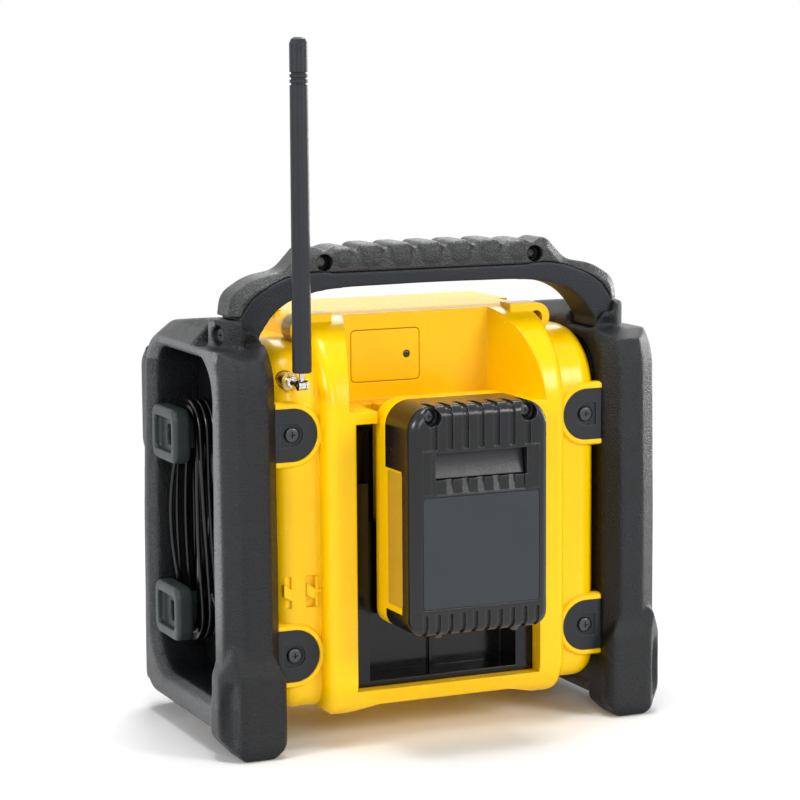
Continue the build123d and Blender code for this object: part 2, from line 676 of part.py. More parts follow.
# ---------------------------------------------------------------------------------------
# Side frames: a ring with bevelled rims, feet and handle seats
# ---------------------------------------------------------------------------------------
FRAME_LEAN = 2.4             # how far the back bar leans forward at the top
FRONT_LEAN = 10.0
straight_x = RIM_X - RIM_BEVEL_X
inner_x = HOUSING_HALF + INNER_BEVEL_X
outer_points = (
    (FRAME_BACK_Y, FRAME_BASE),
    (FRAME_BACK_Y, FRAME_TOP / 2),
    (FRAME_BACK_Y - FRAME_LEAN, FRAME_TOP),
    (HANDLE_Y0 - 10, FRAME_TOP + 0.5),
    (FRAME_FRONT_Y + FRONT_LEAN, FRAME_TOP - 7),
    (FRAME_FRONT_Y + 2.5, FRAME_TOP / 2),
    (FRAME_FRONT_Y, FRAME_BASE),
)
outer_radii = (14, 60, 32, 100, 30, 60, 22)
inner_points = (
    (FRAME_BACK_Y - BACK_BAR, FRAME_BASE + BASE_BAR),
    (FRAME_BACK_Y - BACK_BAR, FRAME_TOP / 2),
    (FRAME_BACK_Y - BACK_BAR + 1.5, FRAME_TOP - TOP_BAR),
    (FRAME_FRONT_Y + FRONT_BAR + 4.5, FRAME_TOP - TOP_BAR),
    (FRAME_FRONT_Y + FRONT_BAR, FRAME_TOP / 2),
    (FRAME_FRONT_Y + FRONT_BAR, FRAME_BASE + BASE_BAR),
)
inner_radii = (10, 60, 20, 14, 60, 24)
SOLE_X0, SOLE_X1 = HOUSING_HALF + 6.0, RIM_X - 8.6
FRONT_SOLE_X0, FRONT_SOLE_X1 = HOUSING_HALF - 7.0, HOUSING_HALF + 11.0
FOOT_TOP = 57.0
FOOT_SHOULDER_Z = 43.0
FOOT_INNER_X = HOUSING_HALF - 1.0
FOOT_FRONT_Y = 26.0
FOOT_BEVEL_X, FOOT_BEVEL_Y = 10.0, 9.5
FRONT_FOOT_TOP = 50.0
FRONT_FOOT_BACK_Y = -58.0
BUMPER_Z0, BUMPER_Z1 = FRAME_TOP * 0.66, FRAME_TOP * 0.87
LENS_HALF = 18.0             # crescent recess on the foot's bevel

with BuildPart() as rear_foot:
    with BuildSketch():
        with BuildLine():
            Polyline(
                (HOUSING_HALF, FOOT_FRONT_Y),
                (HOUSING_HALF, pad_y + 1.6),
                (FOOT_INNER_X, pad_y + 4.4),
                (FOOT_INNER_X, FOOT_Y - 3),
                (FOOT_INNER_X + 3, FOOT_Y),
                (FOOT_X - FOOT_BEVEL_X, FOOT_Y),
                (FOOT_X, FOOT_Y - FOOT_BEVEL_Y),
                (FOOT_X, FOOT_FRONT_Y + 6),
                (FOOT_X - 6, FOOT_FRONT_Y),
                close=True,
            )
        make_face()
    extrude(amount=FOOT_TOP + 1)
    with BuildSketch(across(FOOT_Y + 1)):
        with BuildLine():
            FilletPolyline(
                (SOLE_X0, 0),
                (SOLE_X1, 0),
                (FOOT_X, 12),
                (FOOT_X, FOOT_SHOULDER_Z),
                (FOOT_X - 7, FOOT_TOP),
                (FOOT_INNER_X + 9, FOOT_TOP),
                (FOOT_INNER_X, FOOT_SHOULDER_Z - 2),
                (FOOT_INNER_X, 7),
                radius=(0, 0, 5, 5, 5, 5, 5, 4),
                close=True,
            )
        make_face()
    extrude(amount=FOOT_Y + 2 - FOOT_FRONT_Y, mode=Mode.INTERSECT)
    with BuildSketch(side_on(FOOT_INNER_X - 1)):
        with BuildLine():
            FilletPolyline(
                (FOOT_FRONT_Y + 4, 0),
                (FOOT_Y - 2, 0),
                (FOOT_Y, 5),
                (FOOT_Y, FOOT_SHOULDER_Z),
                (FRAME_BACK_Y - 2, FOOT_TOP),
                (FOOT_FRONT_Y - 1, FOOT_TOP),
                (FOOT_FRONT_Y - 1, 9),
                radius=(0, 0, 4, 5, 3, 0, 0),
                close=True,
            )
        make_face()
    extrude(amount=FOOT_X - FOOT_INNER_X + 2, mode=Mode.INTERSECT)
    # crescent recess on the outer bevel
    bevel_mid = (FOOT_X - FOOT_BEVEL_X / 2, FOOT_Y - FOOT_BEVEL_Y / 2, FOOT_SHOULDER_Z - LENS_HALF - 1)
    with BuildSketch(Plane(origin=bevel_mid, x_dir=(-FOOT_BEVEL_X, FOOT_BEVEL_Y, 0), z_dir=(FOOT_BEVEL_Y, FOOT_BEVEL_X, 0))):
        with BuildLine():
            Line((2.6, -LENS_HALF), (2.6, LENS_HALF))
            ThreePointArc((2.6, LENS_HALF), (-3.8, -LENS_HALF * 0.35), (2.6, -LENS_HALF))
        make_face()
    extrude(amount=-1.8, mode=Mode.SUBTRACT)

with BuildPart() as front_foot:
    with BuildSketch(across(FRONT_FOOT_BACK_Y)):
        with BuildLine():
            FilletPolyline(
                (FRONT_SOLE_X0, 0),
                (FRONT_SOLE_X1, 0),
                (RIM_X - 3, 15),
                (RIM_X - 3, FRONT_FOOT_TOP - 8),
                (straight_x - 2, FRONT_FOOT_TOP),
                (inner_x - 4, FRONT_FOOT_TOP),
                (HOUSING_HALF, FRONT_FOOT_TOP - 6),
                (HOUSING_HALF, HOUSING_BASE - 0.4),
                (FRONT_SOLE_X0, HOUSING_BASE - 0.4),
                radius=(0, 0, 5, 6, 3, 3, 2, 0, 0),
                close=True,
            )
        make_face()
    extrude(amount=FRONT_FOOT_BACK_Y - FRONT_Y_MAX)
    with BuildSketch(side_on(FRONT_SOLE_X0 - 1)):
        with BuildLine():
            Polyline(
                (FRONT_FOOT_BACK_Y - 4, 0),
                (FRONT_Y_MAX + 4, 0),
                (FRONT_Y_MAX, 7),
                (FRONT_Y_MAX, FRONT_FOOT_TOP - 14),
                (FRAME_FRONT_Y + 3, FRONT_FOOT_TOP),
                (FRONT_FOOT_BACK_Y, FRONT_FOOT_TOP),
                (FRONT_FOOT_BACK_Y, 8),
                close=True,
            )
        make_face()
    extrude(amount=RIM_X - FRONT_SOLE_X0 + 2, mode=Mode.INTERSECT)

with BuildPart() as right_frame:
    with BuildSketch(side_on(inner_x)):
        with BuildLine():
            FilletPolyline(*outer_points, radius=outer_radii, close=True)
        make_face()
    extrude(amount=straight_x - inner_x)
    for x, run in ((straight_x, RIM_BEVEL_X), (inner_x, -INNER_BEVEL_X)):
        with BuildSketch(side_on(x)):
            with BuildLine():
                FilletPolyline(*outer_points, radius=outer_radii, close=True)
            make_face()
        extrude(amount=run, taper=degrees(atan(RIM_BEVEL / abs(run))))
    # bumper high on the front bar
    with BuildSketch(side_on(inner_x)):
        with BuildLine():
            FilletPolyline(
                (FRAME_FRONT_Y + FRONT_BAR / 2, BUMPER_Z0 - 8),
                (FRAME_FRONT_Y + 0.6, BUMPER_Z0),
                (FRAME_FRONT_Y + 0.6, BUMPER_Z1),
                (FRAME_FRONT_Y + FRONT_BAR / 2, BUMPER_Z1 + 9),
                radius=(0, 6, 6, 0),
                close=True,
            )
        make_face()
    extrude(amount=RIM_X - 3.2 - inner_x)
    add(rear_foot.part)
    add(front_foot.part)
    # ear beside the handle leg
    with BuildSketch(side_on(LEG_OUT + FIT)):
        with BuildLine():
            FilletPolyline(
                (HANDLE_Y0 - 7, FRAME_TOP - TOP_BAR / 2),
                (HANDLE_Y1 + FIT, FRAME_TOP - TOP_BAR / 2),
                (HANDLE_Y1 + FIT, EAR_TOP),
                (HANDLE_Y0 - 2, EAR_TOP),
                radius=(0, 0, 2.5, 4),
                close=True,
            )
        make_face()
    extrude(amount=EAR_X - LEG_OUT - FIT)
    # the opening of the ring, its outer edge rounded
    with BuildSketch(side_on(HOUSING_HALF - 1)):
        with BuildLine():
            FilletPolyline(*inner_points, radius=inner_radii, close=True)
        make_face()
    extrude(amount=FOOT_X - HOUSING_HALF + 2, mode=Mode.SUBTRACT)
    with BuildSketch(side_on(RIM_X - RIM_ROUND)):
        with BuildLine():
            FilletPolyline(*inner_points, radius=inner_radii, close=True)
        make_face()
    extrude(amount=FOOT_X - RIM_X + RIM_ROUND + 1, taper=-32, mode=Mode.SUBTRACT)
    # seat of the handle leg, open towards the middle
    with BuildSketch(side_on(HOUSING_HALF - 1)):
        with Locations(((HANDLE_Y0 + HANDLE_Y1) / 2, HANDLE_SEAT + 10)):
            Rectangle(HANDLE_Y1 - HANDLE_Y0 + 2 * (GRIP_PROUD + FIT), 20)
    extrude(amount=LEG_OUT + FIT - HOUSING_HALF + 1, mode=Mode.SUBTRACT)
    # side screw hole through the ear
    with BuildSketch(side_on(LEG_OUT)):
        with Locations(((HANDLE_Y0 + HANDLE_Y1) / 2, HANDLE_SEAT + 6)):
            Circle(2.2)
    extrude(amount=FOOT_X - LEG_OUT, mode=Mode.SUBTRACT)
    with BuildSketch(side_on(EAR_X - 3.6)):
        with Locations(((HANDLE_Y0 + HANDLE_Y1) / 2, HANDLE_SEAT + 6)):
            Circle(4.4)
    extrude(amount=FOOT_X - EAR_X + 2, mode=Mode.SUBTRACT)
keep(right_frame.part, "right_frame")

with BuildPart() as left_frame:
    mirror(right_frame.part, about=Plane.YZ)
keep(left_frame.part, "left_frame")

for side, name in ((1, "right"), (-1, "left")):
    with BuildPart() as side_panel:
        with BuildSketch(side_on(side * HOUSING_HALF)):
            with BuildLine():
                FilletPolyline(*inner_points, radius=inner_radii, close=True)
            make_face()
            offset(amount=-FIT, mode=Mode.REPLACE)
        extrude(amount=side * PANEL_T)
    keep(side_panel.part, f"{name}_side_panel")

with BuildPart() as frame_lugs:
    for side in SIDES:
        for height in LUG_HEIGHTS:
            with BuildSketch(across(pad_y - 0.6)):
                add(lug_outline(side, height, LUG_R, HOUSING_HALF))
            extrude(amount=LUG_T - 0.1)
            with BuildSketch(across(pad_y - 0.6)):
                add(lug_outline(side, height, 5.8, HOUSING_HALF - 3))
            extrude(amount=1, mode=Mode.SUBTRACT)
            with BuildSketch(across(pad_y - 1.6)):
                with Locations((side * LUG_X, height)):
                    Circle(4.6)
            extrude(amount=0.6, mode=Mode.SUBTRACT)
            with BuildSketch(across(pad_y)):
                with Locations((side * LUG_X, height)):
                    Circle(1.8)
            extrude(amount=LUG_T + 2, mode=Mode.SUBTRACT)
keep(frame_lugs.part, "frame_lugs")

with BuildPart() as lug_screws:
    screw_places = [(side * LUG_X, height) for side in SIDES for height in LUG_HEIGHTS]
    with BuildSketch(across(pad_y - 2.2)):
        with Locations(*screw_places):
            Circle(3.8)
    extrude(amount=-1.8)
    fillet(lug_screws.edges().group_by(Axis.Y)[-1], 0.6)
    with BuildSketch(across(pad_y - 2.2)):
        with Locations(*screw_places):
            Circle(1.6)
    extrude(amount=LUG_T - 1.8)
keep(lug_screws.part, "lug_screws")

# ---------------------------------------------------------------------------------------
# Handle: a stiff core with a rubber grip moulded over it
# ---------------------------------------------------------------------------------------
def arch(share):
    """The height at a share of the way from the frame ears to the handle's top."""
    return EAR_TOP + share * (HANDLE_TOP - EAR_TOP)


HANDLE_HOLE_Z = arch(0.76)
GRIP_ROUND = 5.0
grip_mid = HANDLE_HOLE_X + 4
leg_top_out = LEG_OUT + 4.2
seam = (
    (LEG_OUT - 1, EAR_TOP + 0.4),
    (LEG_OUT - 4.6, arch(0.2)),
    (LEG_OUT - 12.8, arch(0.4)),
    (LEG_OUT - 21.3, arch(0.51)),
    (LEG_OUT - 31.3, arch(0.6)),
    (HANDLE_HOLE_X - 4, arch(0.615)),
)
outer = (
    (leg_top_out, EAR_TOP + 0.4),
    (leg_top_out - 1.5, arch(0.33)),
    (leg_top_out - 14.5, arch(0.57)),
    (leg_top_out - 30, arch(0.645)),
    (leg_top_out - 41.5, HANDLE_TOP),
    (grip_mid, HANDLE_TOP),
)
outer_rounds = (11, 30, 14, 7)
under = (
    (LEG_IN, HANDLE_SEAT + 5),
    (LEG_IN - 3.4, arch(-0.12)),
    (LEG_IN - 11, arch(0.12)),
    (LEG_IN - 25, arch(0.3)),
    (LEG_IN - 62, arch(0.39)),
    (0, arch(0.4)),
)


def mirrored(points):
    """The same points on the other side, in reverse order."""
    return tuple((-x, z) for x, z in reversed(points))


with BuildPart() as handle_core:
    with BuildSketch(across(HANDLE_Y1)):
        with BuildLine():
            Polyline((LEG_IN, HANDLE_SEAT + 5), (LEG_IN, HANDLE_SEAT), (LEG_OUT, HANDLE_SEAT), (LEG_OUT, EAR_TOP + 0.4), seam[0])
            Spline(*seam)
            Line(seam[-1], mirrored(seam)[0])
            Spline(*mirrored(seam))
            Polyline(
                mirrored(seam)[-1], (-LEG_OUT, EAR_TOP + 0.4), (-LEG_OUT, HANDLE_SEAT), (-LEG_IN, HANDLE_SEAT),
                (-LEG_IN, HANDLE_SEAT + 5),
            )
            Spline(*under, *mirrored(under)[1:])
        make_face()
    extrude(amount=HANDLE_Y1 - HANDLE_Y0)
    for side in SIDES:
        with BuildSketch(side_on(side * (LEG_OUT + 1))):
            with Locations(((HANDLE_Y0 + HANDLE_Y1) / 2, HANDLE_SEAT + 6)):
                Circle(1.6)
        extrude(amount=-side * 9, mode=Mode.SUBTRACT)
keep(handle_core.part, "handle_core")

grip_half_y = (HANDLE_Y1 - HANDLE_Y0) / 2 + GRIP_PROUD
with BuildPart() as grip_envelope:
    flank = HANDLE_Y1 + GRIP_PROUD - GRIP_ROUND
    with BuildSketch(across(flank)) as envelope_outline:
        with BuildLine():
            FilletPolyline(*outer, radius=outer_rounds)
            Line((grip_mid, HANDLE_TOP), (-grip_mid, HANDLE_TOP))
            FilletPolyline(*mirrored(outer), radius=tuple(reversed(outer_rounds)))
            Polyline(
                (-leg_top_out, EAR_TOP + 0.4), (-leg_top_out, HANDLE_SEAT - 20),
                (leg_top_out, HANDLE_SEAT - 20), (leg_top_out, EAR_TOP + 0.4),
            )
        make_face()
    extrude(amount=2 * (grip_half_y - GRIP_ROUND))
    extrude(envelope_outline.sketch, amount=-GRIP_ROUND, taper=45)
    with BuildSketch(across(HANDLE_Y0 - GRIP_PROUD + GRIP_ROUND)):
        add(envelope_outline.sketch_local)
    extrude(amount=GRIP_ROUND, taper=45)

with BuildPart() as handle_grip:
    with BuildSketch(across(HANDLE_Y1 + GRIP_PROUD)):
        with BuildLine():
            FilletPolyline(*outer, radius=outer_rounds)
            bump_ends = [(i - BUMP_COUNT / 2) * BUMP_PITCH for i in range(BUMP_COUNT + 1)]
            Line(outer[-1], (bump_ends[-1], HANDLE_TOP - BUMP_RISE))
            for x0, x1 in zip(bump_ends, bump_ends[1:]):
                ThreePointArc((x0, HANDLE_TOP - BUMP_RISE), ((x0 + x1) / 2, HANDLE_TOP), (x1, HANDLE_TOP - BUMP_RISE))
            Line((bump_ends[0], HANDLE_TOP - BUMP_RISE), mirrored(outer)[0])
            FilletPolyline(*mirrored(outer), radius=tuple(reversed(outer_rounds)))
            Line(mirrored(outer)[-1], mirrored(seam)[-1])
            Spline(*mirrored(seam))
            Line(mirrored(seam)[0], seam[-1])
            Spline(*seam)
            Line(seam[0], outer[0])
        make_face()
    extrude(amount=2 * grip_half_y)
    add(grip_envelope.part, mode=Mode.INTERSECT)
    # rounded along its top edges
    with BuildSketch(side_on(-leg_top_out - 1)):
        with Locations(((HANDLE_Y0 + HANDLE_Y1) / 2, (HANDLE_SEAT + HANDLE_TOP) / 2)):
            RectangleRounded(2 * grip_half_y, HANDLE_TOP - HANDLE_SEAT, 7)
    extrude(amount=2 * leg_top_out + 2, mode=Mode.INTERSECT)
    # through holes with a pocket on each face
    hole_places = [(side * HANDLE_HOLE_X, HANDLE_HOLE_Z) for side in SIDES]
    with BuildSketch(across(HANDLE_Y1 + 1)):
        with Locations(*hole_places):
            Circle(HANDLE_HOLE_R)
    extrude(amount=HANDLE_Y1 - HANDLE_Y0 + 2, mode=Mode.SUBTRACT)
    for y, way in ((HANDLE_Y1 + 1, 1), (HANDLE_Y0 - 1, -1)):
        with BuildSketch(across(y)):
            with Locations(*hole_places):
                Circle(HANDLE_HOLE_R + 1.4)
        extrude(amount=way * 7, mode=Mode.SUBTRACT)
keep(handle_grip.part, "handle_grip")

with BuildPart() as handle_screws:
    for side in SIDES:
        with BuildSketch(side_on(side * (EAR_X - 3.6))):
            with Locations(((HANDLE_Y0 + HANDLE_Y1) / 2, HANDLE_SEAT + 6)):
                Circle(3.9)
        extrude(amount=side * 2)
        with BuildSketch(side_on(side * (EAR_X - 3.6))):
            with Locations(((HANDLE_Y0 + HANDLE_Y1) / 2, HANDLE_SEAT + 6)):
                Circle(1.5)
        extrude(amount=-side * 10)
keep(handle_screws.part, "handle_screws")

with BuildPart() as housing_screws:
    for side in SIDES:
        with BuildSketch(across(EAR_BOSS_Y - EAR_BOSS_L + 3)):
            with Locations((side * EAR_BOSS_X, EAR_BOSS_Z)):
                Circle(3.2)
        extrude(amount=-3)
keep(housing_screws.part, "housing_screws")

# ---------------------------------------------------------------------------------------
# Battery bay, its terminals and the backup cell
# ---------------------------------------------------------------------------------------
liner_half = BAY_HALF - FIT
liner_base = BAY_BASE + FIT
liner_top = BAY_TOP - FIT
channel_half = BAY_HALF - STRIP_W
rail_top = RAIL_BASE + PACK_TRAVEL - SLIDING
liner_back = BAY_FLOOR_Y - WALL

with BuildPart() as battery_bay:
    with BuildSketch(across(BAY_FLOOR_Y)):
        with Locations((0, (liner_base + liner_top) / 2)):
            Rectangle(2 * liner_half, liner_top - liner_base)
    extrude(amount=WALL)
    for side in SIDES:
        with BuildSketch(side_on(side * channel_half)):
            with BuildLine():
                Polyline(
                    (STRIP_Y - 9, STRIP_TOP),
                    (STRIP_Y, STRIP_TOP - 0.5),
                    (STRIP_Y, liner_base),
                    (liner_back, liner_base),
                    (liner_back, liner_top),
                    (COLUMN_Y - 3, liner_top),
                )
                ThreePointArc(
                    (COLUMN_Y - 3, liner_top),
                    (STRIP_Y - 5, (STRIP_TOP + liner_top) / 2 + 2),
                    (STRIP_Y - 9, STRIP_TOP),
                )
            make_face()
        extrude(amount=side * (liner_half - channel_half))
        with BuildSketch(Plane.XY.offset(RAIL_BASE)):
            with Locations((side * (RAIL_IN + channel_half) / 2, RAIL_Y + RAIL_T / 2)):
                Rectangle(channel_half - RAIL_IN, RAIL_T)
        extrude(amount=rail_top - RAIL_BASE)
    with BuildSketch(Plane.XY.offset(liner_base)):
        with Locations((0, (BAY_FLOOR_Y + STRIP_Y) / 2)):
            Rectangle(2 * channel_half, STRIP_Y - BAY_FLOOR_Y)
    extrude(amount=WALL)
    with BuildSketch(Plane.XY.offset(liner_base)):
        with Locations((0, BAY_FLOOR_Y + 1)):
            Rectangle(1.6, 2)
    extrude(amount=RAIL_BASE - liner_base)
keep(battery_bay.part, "battery_bay")

BLOCK_HALF, BLOCK_BASE, BLOCK_H, BLOCK_T = 17.0, 70.0, 18.0, 15.0
BLADE_PITCH, BLADE_H = 8.0, 16.0
with BuildPart() as terminal_block:
    with BuildSketch(Plane.XY.offset(BLOCK_BASE)):
        with Locations((0, BAY_FLOOR_Y + BLOCK_T / 2)):
            Rectangle(2 * BLOCK_HALF, BLOCK_T)
    extrude(amount=BLOCK_H)
keep(terminal_block.part, "terminal_block")

with BuildPart() as contact_blades:
    with BuildSketch(Plane.XY.offset(BLOCK_BASE + BLOCK_H)):
        with Locations((0, BAY_FLOOR_Y + BLOCK_T / 2)):
            with GridLocations(BLADE_PITCH, 1, 4, 1):
                Rectangle(0.8, 9)
    extrude(amount=BLADE_H)
keep(contact_blades.part, "contact_blades")

with BuildPart() as backup_cover:
    with BuildSketch(across(RECESS_Y)):
        with Locations((COVER_X, COVER_Z)):
            RectangleRounded(COVER_W, COVER_H, 2.2)
    extrude(amount=COVER_T)
    with BuildSketch(across(RECESS_Y)):
        with Locations((COVER_SCREW_X, COVER_Z)):
            Circle(2.0)
    extrude(amount=COVER_T, mode=Mode.SUBTRACT)
keep(backup_cover.part, "backup_cover")

with BuildPart() as cover_screw:
    with BuildSketch(across(RECESS_Y - 0.3)):
        with Locations((COVER_SCREW_X, COVER_Z)):
            Circle(1.85)
    extrude(amount=COVER_T - 0.3)
    with BuildSketch(across(RECESS_Y - COVER_T)):
        with Locations((COVER_SCREW_X, COVER_Z)):
            Circle(1.1)
    extrude(amount=5)
keep(cover_screw.part, "cover_screw")

holder_y = RECESS_Y - COVER_T - FIT
with BuildPart() as coin_holder:
    with BuildSketch(across(holder_y)):
        with Locations((HOLDER_X, COVER_Z)):
            Rectangle(HOLDER_W, HOLDER_H)
    extrude(amount=HOLDER_DEPTH)
    with BuildSketch(across(holder_y)):
        with Locations((HOLDER_X, COVER_Z)):
            Circle(10.0 + FIT)
    extrude(amount=HOLDER_DEPTH - 2, mode=Mode.SUBTRACT)
keep(coin_holder.part, "coin_holder")

with BuildPart() as coin_cell:
    with BuildSketch(across(holder_y - HOLDER_DEPTH + 2 + 3.2)):
        with Locations((HOLDER_X, COVER_Z)):
            Circle(10.0)
    extrude(amount=3.2)
keep(coin_cell.part, "coin_cell")

with BuildPart() as main_board:
    with BuildSketch(across(bay_back_y - WALL - 4)):
        with Locations((0, 118)):
            Rectangle(2 * (BAY_HALF - 8), 62)
    extrude(amount=1.6)
    with BuildSketch(across(bay_back_y - WALL - 5.6)):
        with Locations((-20, 124)):
            Rectangle(16, 16)
        with Locations((20, 110)):
            Rectangle(12, 22)
        with Locations((4, 136)):
            Circle(6)
    extrude(amount=6)
keep(main_board.part, "main_board")

with BuildPart() as transformer:
    with BuildSketch(Plane.XY.offset(HOUSING_BASE + WALL)):
        with Locations((0, -8)):
            Rectangle(52, 36)
    extrude(amount=44)
    with BuildSketch(Plane.XY.offset(HOUSING_BASE + WALL)):
        with Locations((0, -8)):
            Rectangle(36, 44)
    extrude(amount=32)
keep(transformer.part, "transformer")

# ---------------------------------------------------------------------------------------
# Battery pack
# ---------------------------------------------------------------------------------------
NECK_HALF = RAIL_IN - SLIDING
FLANGE_HALF = RAIL_IN + 7.0
flange_y0 = BAY_FLOOR_Y + 2.5
flange_y1 = RAIL_Y - SLIDING
pack_mid_z = (PACK_BASE + PACK_TOP) / 2
pack_h = PACK_TOP - PACK_BASE
LATCH_Z, LATCH_HALF_X, LATCH_H = 147.2, 25.0, 13.4
LATCH_TRAVEL = 2.0
PACK_ROUND = 6.0
TOP_CORNER_R, LOW_CORNER_R = 13.0, 8.0
SCREW_POCKET_X, SCREW_POCKET_Z, SCREW_POCKET_R = PACK_HALF - 11.7, PACK_TOP - 5.5, 4.6
RIB_COUNT = 6
RIB_PITCH = 8.5
RIB_GAP = 3.2
GROOVE = 1.3
LABEL_Z0, LABEL_Z1, LABEL_HALF = PACK_BASE + 14.0, PACK_BASE + 70.0, PACK_HALF - 6.0
WRAP_Y = PACK_Y - 12.0       # how far back the yellow side plates reach
WRAP_Z0, WRAP_Z1, WRAP_T = PACK_BASE + 10.0, PACK_TOP - 33.0, 1.2
LOW_RIB_COUNT = 9
LOW_RIB_PITCH = 6.8
rib_xs = [(i - (RIB_COUNT - 1) / 2) * RIB_PITCH for i in range(RIB_COUNT)]
gap_xs = [(i - RIB_COUNT / 2) * RIB_PITCH for i in range(RIB_COUNT + 1)]
low_gap_xs = [(i - LOW_RIB_COUNT / 2) * LOW_RIB_PITCH for i in range(LOW_RIB_COUNT + 1)]


def wrapped_groove(z0, z1, way):
    """A groove's side outline that follows the rounded edge at one end of the pack."""
    edge = PACK_TOP if way > 0 else PACK_BASE
    with BuildSketch() as outline:
        with BuildLine():
            Polyline(
                (PACK_Y - 14, z0), (PACK_Y + 2, z0), (PACK_Y + 2, z1), (PACK_Y - 14, z1), close=True,
            )
        make_face()
        with BuildLine():
            FilletPolyline(
                (PACK_JOINT_Y, pack_mid_z),
                (PACK_Y - GROOVE, pack_mid_z),
                (PACK_Y - GROOVE, edge - way * GROOVE),
                (PACK_JOINT_Y, edge - way * GROOVE),
                radius=(0, 0, PACK_ROUND - GROOVE, 0),
                close=True,
            )
        make_face(mode=Mode.SUBTRACT)
    return outline.sketch


with BuildPart() as pack_lower_case:
    with BuildSketch(across(PACK_JOINT_Y)):
        with BuildLine():
            FilletPolyline(
                (-PACK_HALF, PACK_BASE),
                (PACK_HALF, PACK_BASE),
                (PACK_HALF, PACK_TOP),
                (-PACK_HALF, PACK_TOP),
                radius=(LOW_CORNER_R, LOW_CORNER_R, TOP_CORNER_R, TOP_CORNER_R),
                close=True,
            )
        make_face()
    extrude(amount=PACK_JOINT_Y - PACK_Y)
    fillet(pack_lower_case.edges().group_by(Axis.Y)[-1], PACK_ROUND)
    # raised bars beside the pocket
    with BuildSketch(across(PACK_Y - 1)):
        with Locations((PACK_HALF - 8.4, LATCH_Z - 3), (8.4 - PACK_HALF, LATCH_Z - 3)):
            Rectangle(5, 22)
    extrude(amount=-1.4)
    with BuildSketch(across(PACK_JOINT_Y)):
        with Locations((0, pack_mid_z)):
            RectangleRounded(2 * (PACK_HALF - PACK_WALL), pack_h - 2 * PACK_WALL, 6)
    extrude(amount=PACK_JOINT_Y - PACK_Y + PACK_WALL + 0.6, mode=Mode.SUBTRACT)
    # its upper corners closed again behind the screw pockets
    with BuildSketch(across(PACK_JOINT_Y)):
        for side in SIDES:
            with BuildLine():
                Polyline(
                    (side * (PACK_HALF - 0.6), PACK_TOP - 11.4),
                    (side * (PACK_HALF - 19), PACK_TOP - 11.4),
                    (side * (PACK_HALF - 19), PACK_TOP - 1),
                    (side * (PACK_HALF - 9), PACK_TOP - 1),
                    (side * (PACK_HALF - 3.8), PACK_TOP - 4.4),
                    close=True,
                )
            make_face()
    extrude(amount=PACK_JOINT_Y - PACK_Y + PACK_ROUND)
    with BuildSketch(across(PACK_Y)):
        with Locations((SCREW_POCKET_X, SCREW_POCKET_Z), (-SCREW_POCKET_X, SCREW_POCKET_Z)):
            Circle(SCREW_POCKET_R)
    extrude(amount=7, mode=Mode.SUBTRACT)
    # thick stretch of wall round the latch, then its pocket and guide slot
    with BuildSketch(across(PACK_Y - 12)):
        with Locations((0, LATCH_Z)):
            Rectangle(2 * LATCH_HALF_X + 5, LATCH_H + 5)
    extrude(amount=-9)
    with BuildSketch(across(PACK_Y)):
        with Locations((0, LATCH_Z)):
            Rectangle(2 * LATCH_HALF_X, LATCH_H)
    extrude(amount=8.5, mode=Mode.SUBTRACT)
    with BuildSketch(across(PACK_Y - 7)):
        with Locations((0, LATCH_Z)):
            Rectangle(12.8, 7)
    extrude(amount=8, mode=Mode.SUBTRACT)
    # grooves between the grip ribs, wrapped over the top, and between the ribs of the lower edge
    for xs, width, z0, z1, way in (
        (gap_xs, RIB_GAP, LATCH_Z + LATCH_H / 2 + 1.6, PACK_TOP + 2, 1),
        (low_gap_xs, RIB_GAP - 0.8, PACK_BASE - 2, LABEL_Z0 - 2.6, -1),
    ):
        for x in xs:
            with BuildSketch(side_on(x - width / 2)):
                add(wrapped_groove(z0, z1, way))
            extrude(amount=width, mode=Mode.SUBTRACT)
    # scoop under the pocket with its short ribs, then the label's recess
    with BuildSketch(side_on(-LATCH_HALF_X + 1)):
        with BuildLine():
            Polyline(
                (PACK_Y + 1, LABEL_Z1 + 1),
                (PACK_Y - 0.4, LABEL_Z1 + 1),
                (PACK_Y - 2.2, LATCH_Z - LATCH_H / 2 + 0.1),
                (PACK_Y + 1, LATCH_Z - LATCH_H / 2 + 0.1),
                close=True,
            )
        make_face()
    extrude(amount=2 * LATCH_HALF_X - 2, mode=Mode.SUBTRACT)
    with BuildSketch(across(PACK_Y - 2.4)):
        with Locations(*((x, (LABEL_Z1 + LATCH_Z - LATCH_H / 2) / 2 + 0.3) for x in rib_xs)):
            Rectangle(RIB_PITCH - RIB_GAP - 0.4, LATCH_Z - LATCH_H / 2 - LABEL_Z1 - 0.8)
    extrude(amount=-1.9)
    with BuildSketch(across(PACK_Y + 1)):
        with Locations((0, (LABEL_Z0 + LABEL_Z1) / 2)):
            RectangleRounded(2 * LABEL_HALF, LABEL_Z1 - LABEL_Z0, 1.5)
    extrude(amount=1.4, mode=Mode.SUBTRACT)
    # rebate in each side for the other case's plates
    for side in SIDES:
        with BuildSketch(side_on(side * (PACK_HALF - WRAP_T))):
            with Locations(((PACK_JOINT_Y - 1 + WRAP_Y) / 2, (WRAP_Z0 + WRAP_Z1) / 2)):
                Rectangle(WRAP_Y - PACK_JOINT_Y + 1, WRAP_Z1 - WRAP_Z0)
        extrude(amount=side * 2 * WRAP_T, mode=Mode.SUBTRACT)
keep(pack_lower_case.part, "pack_lower_case")

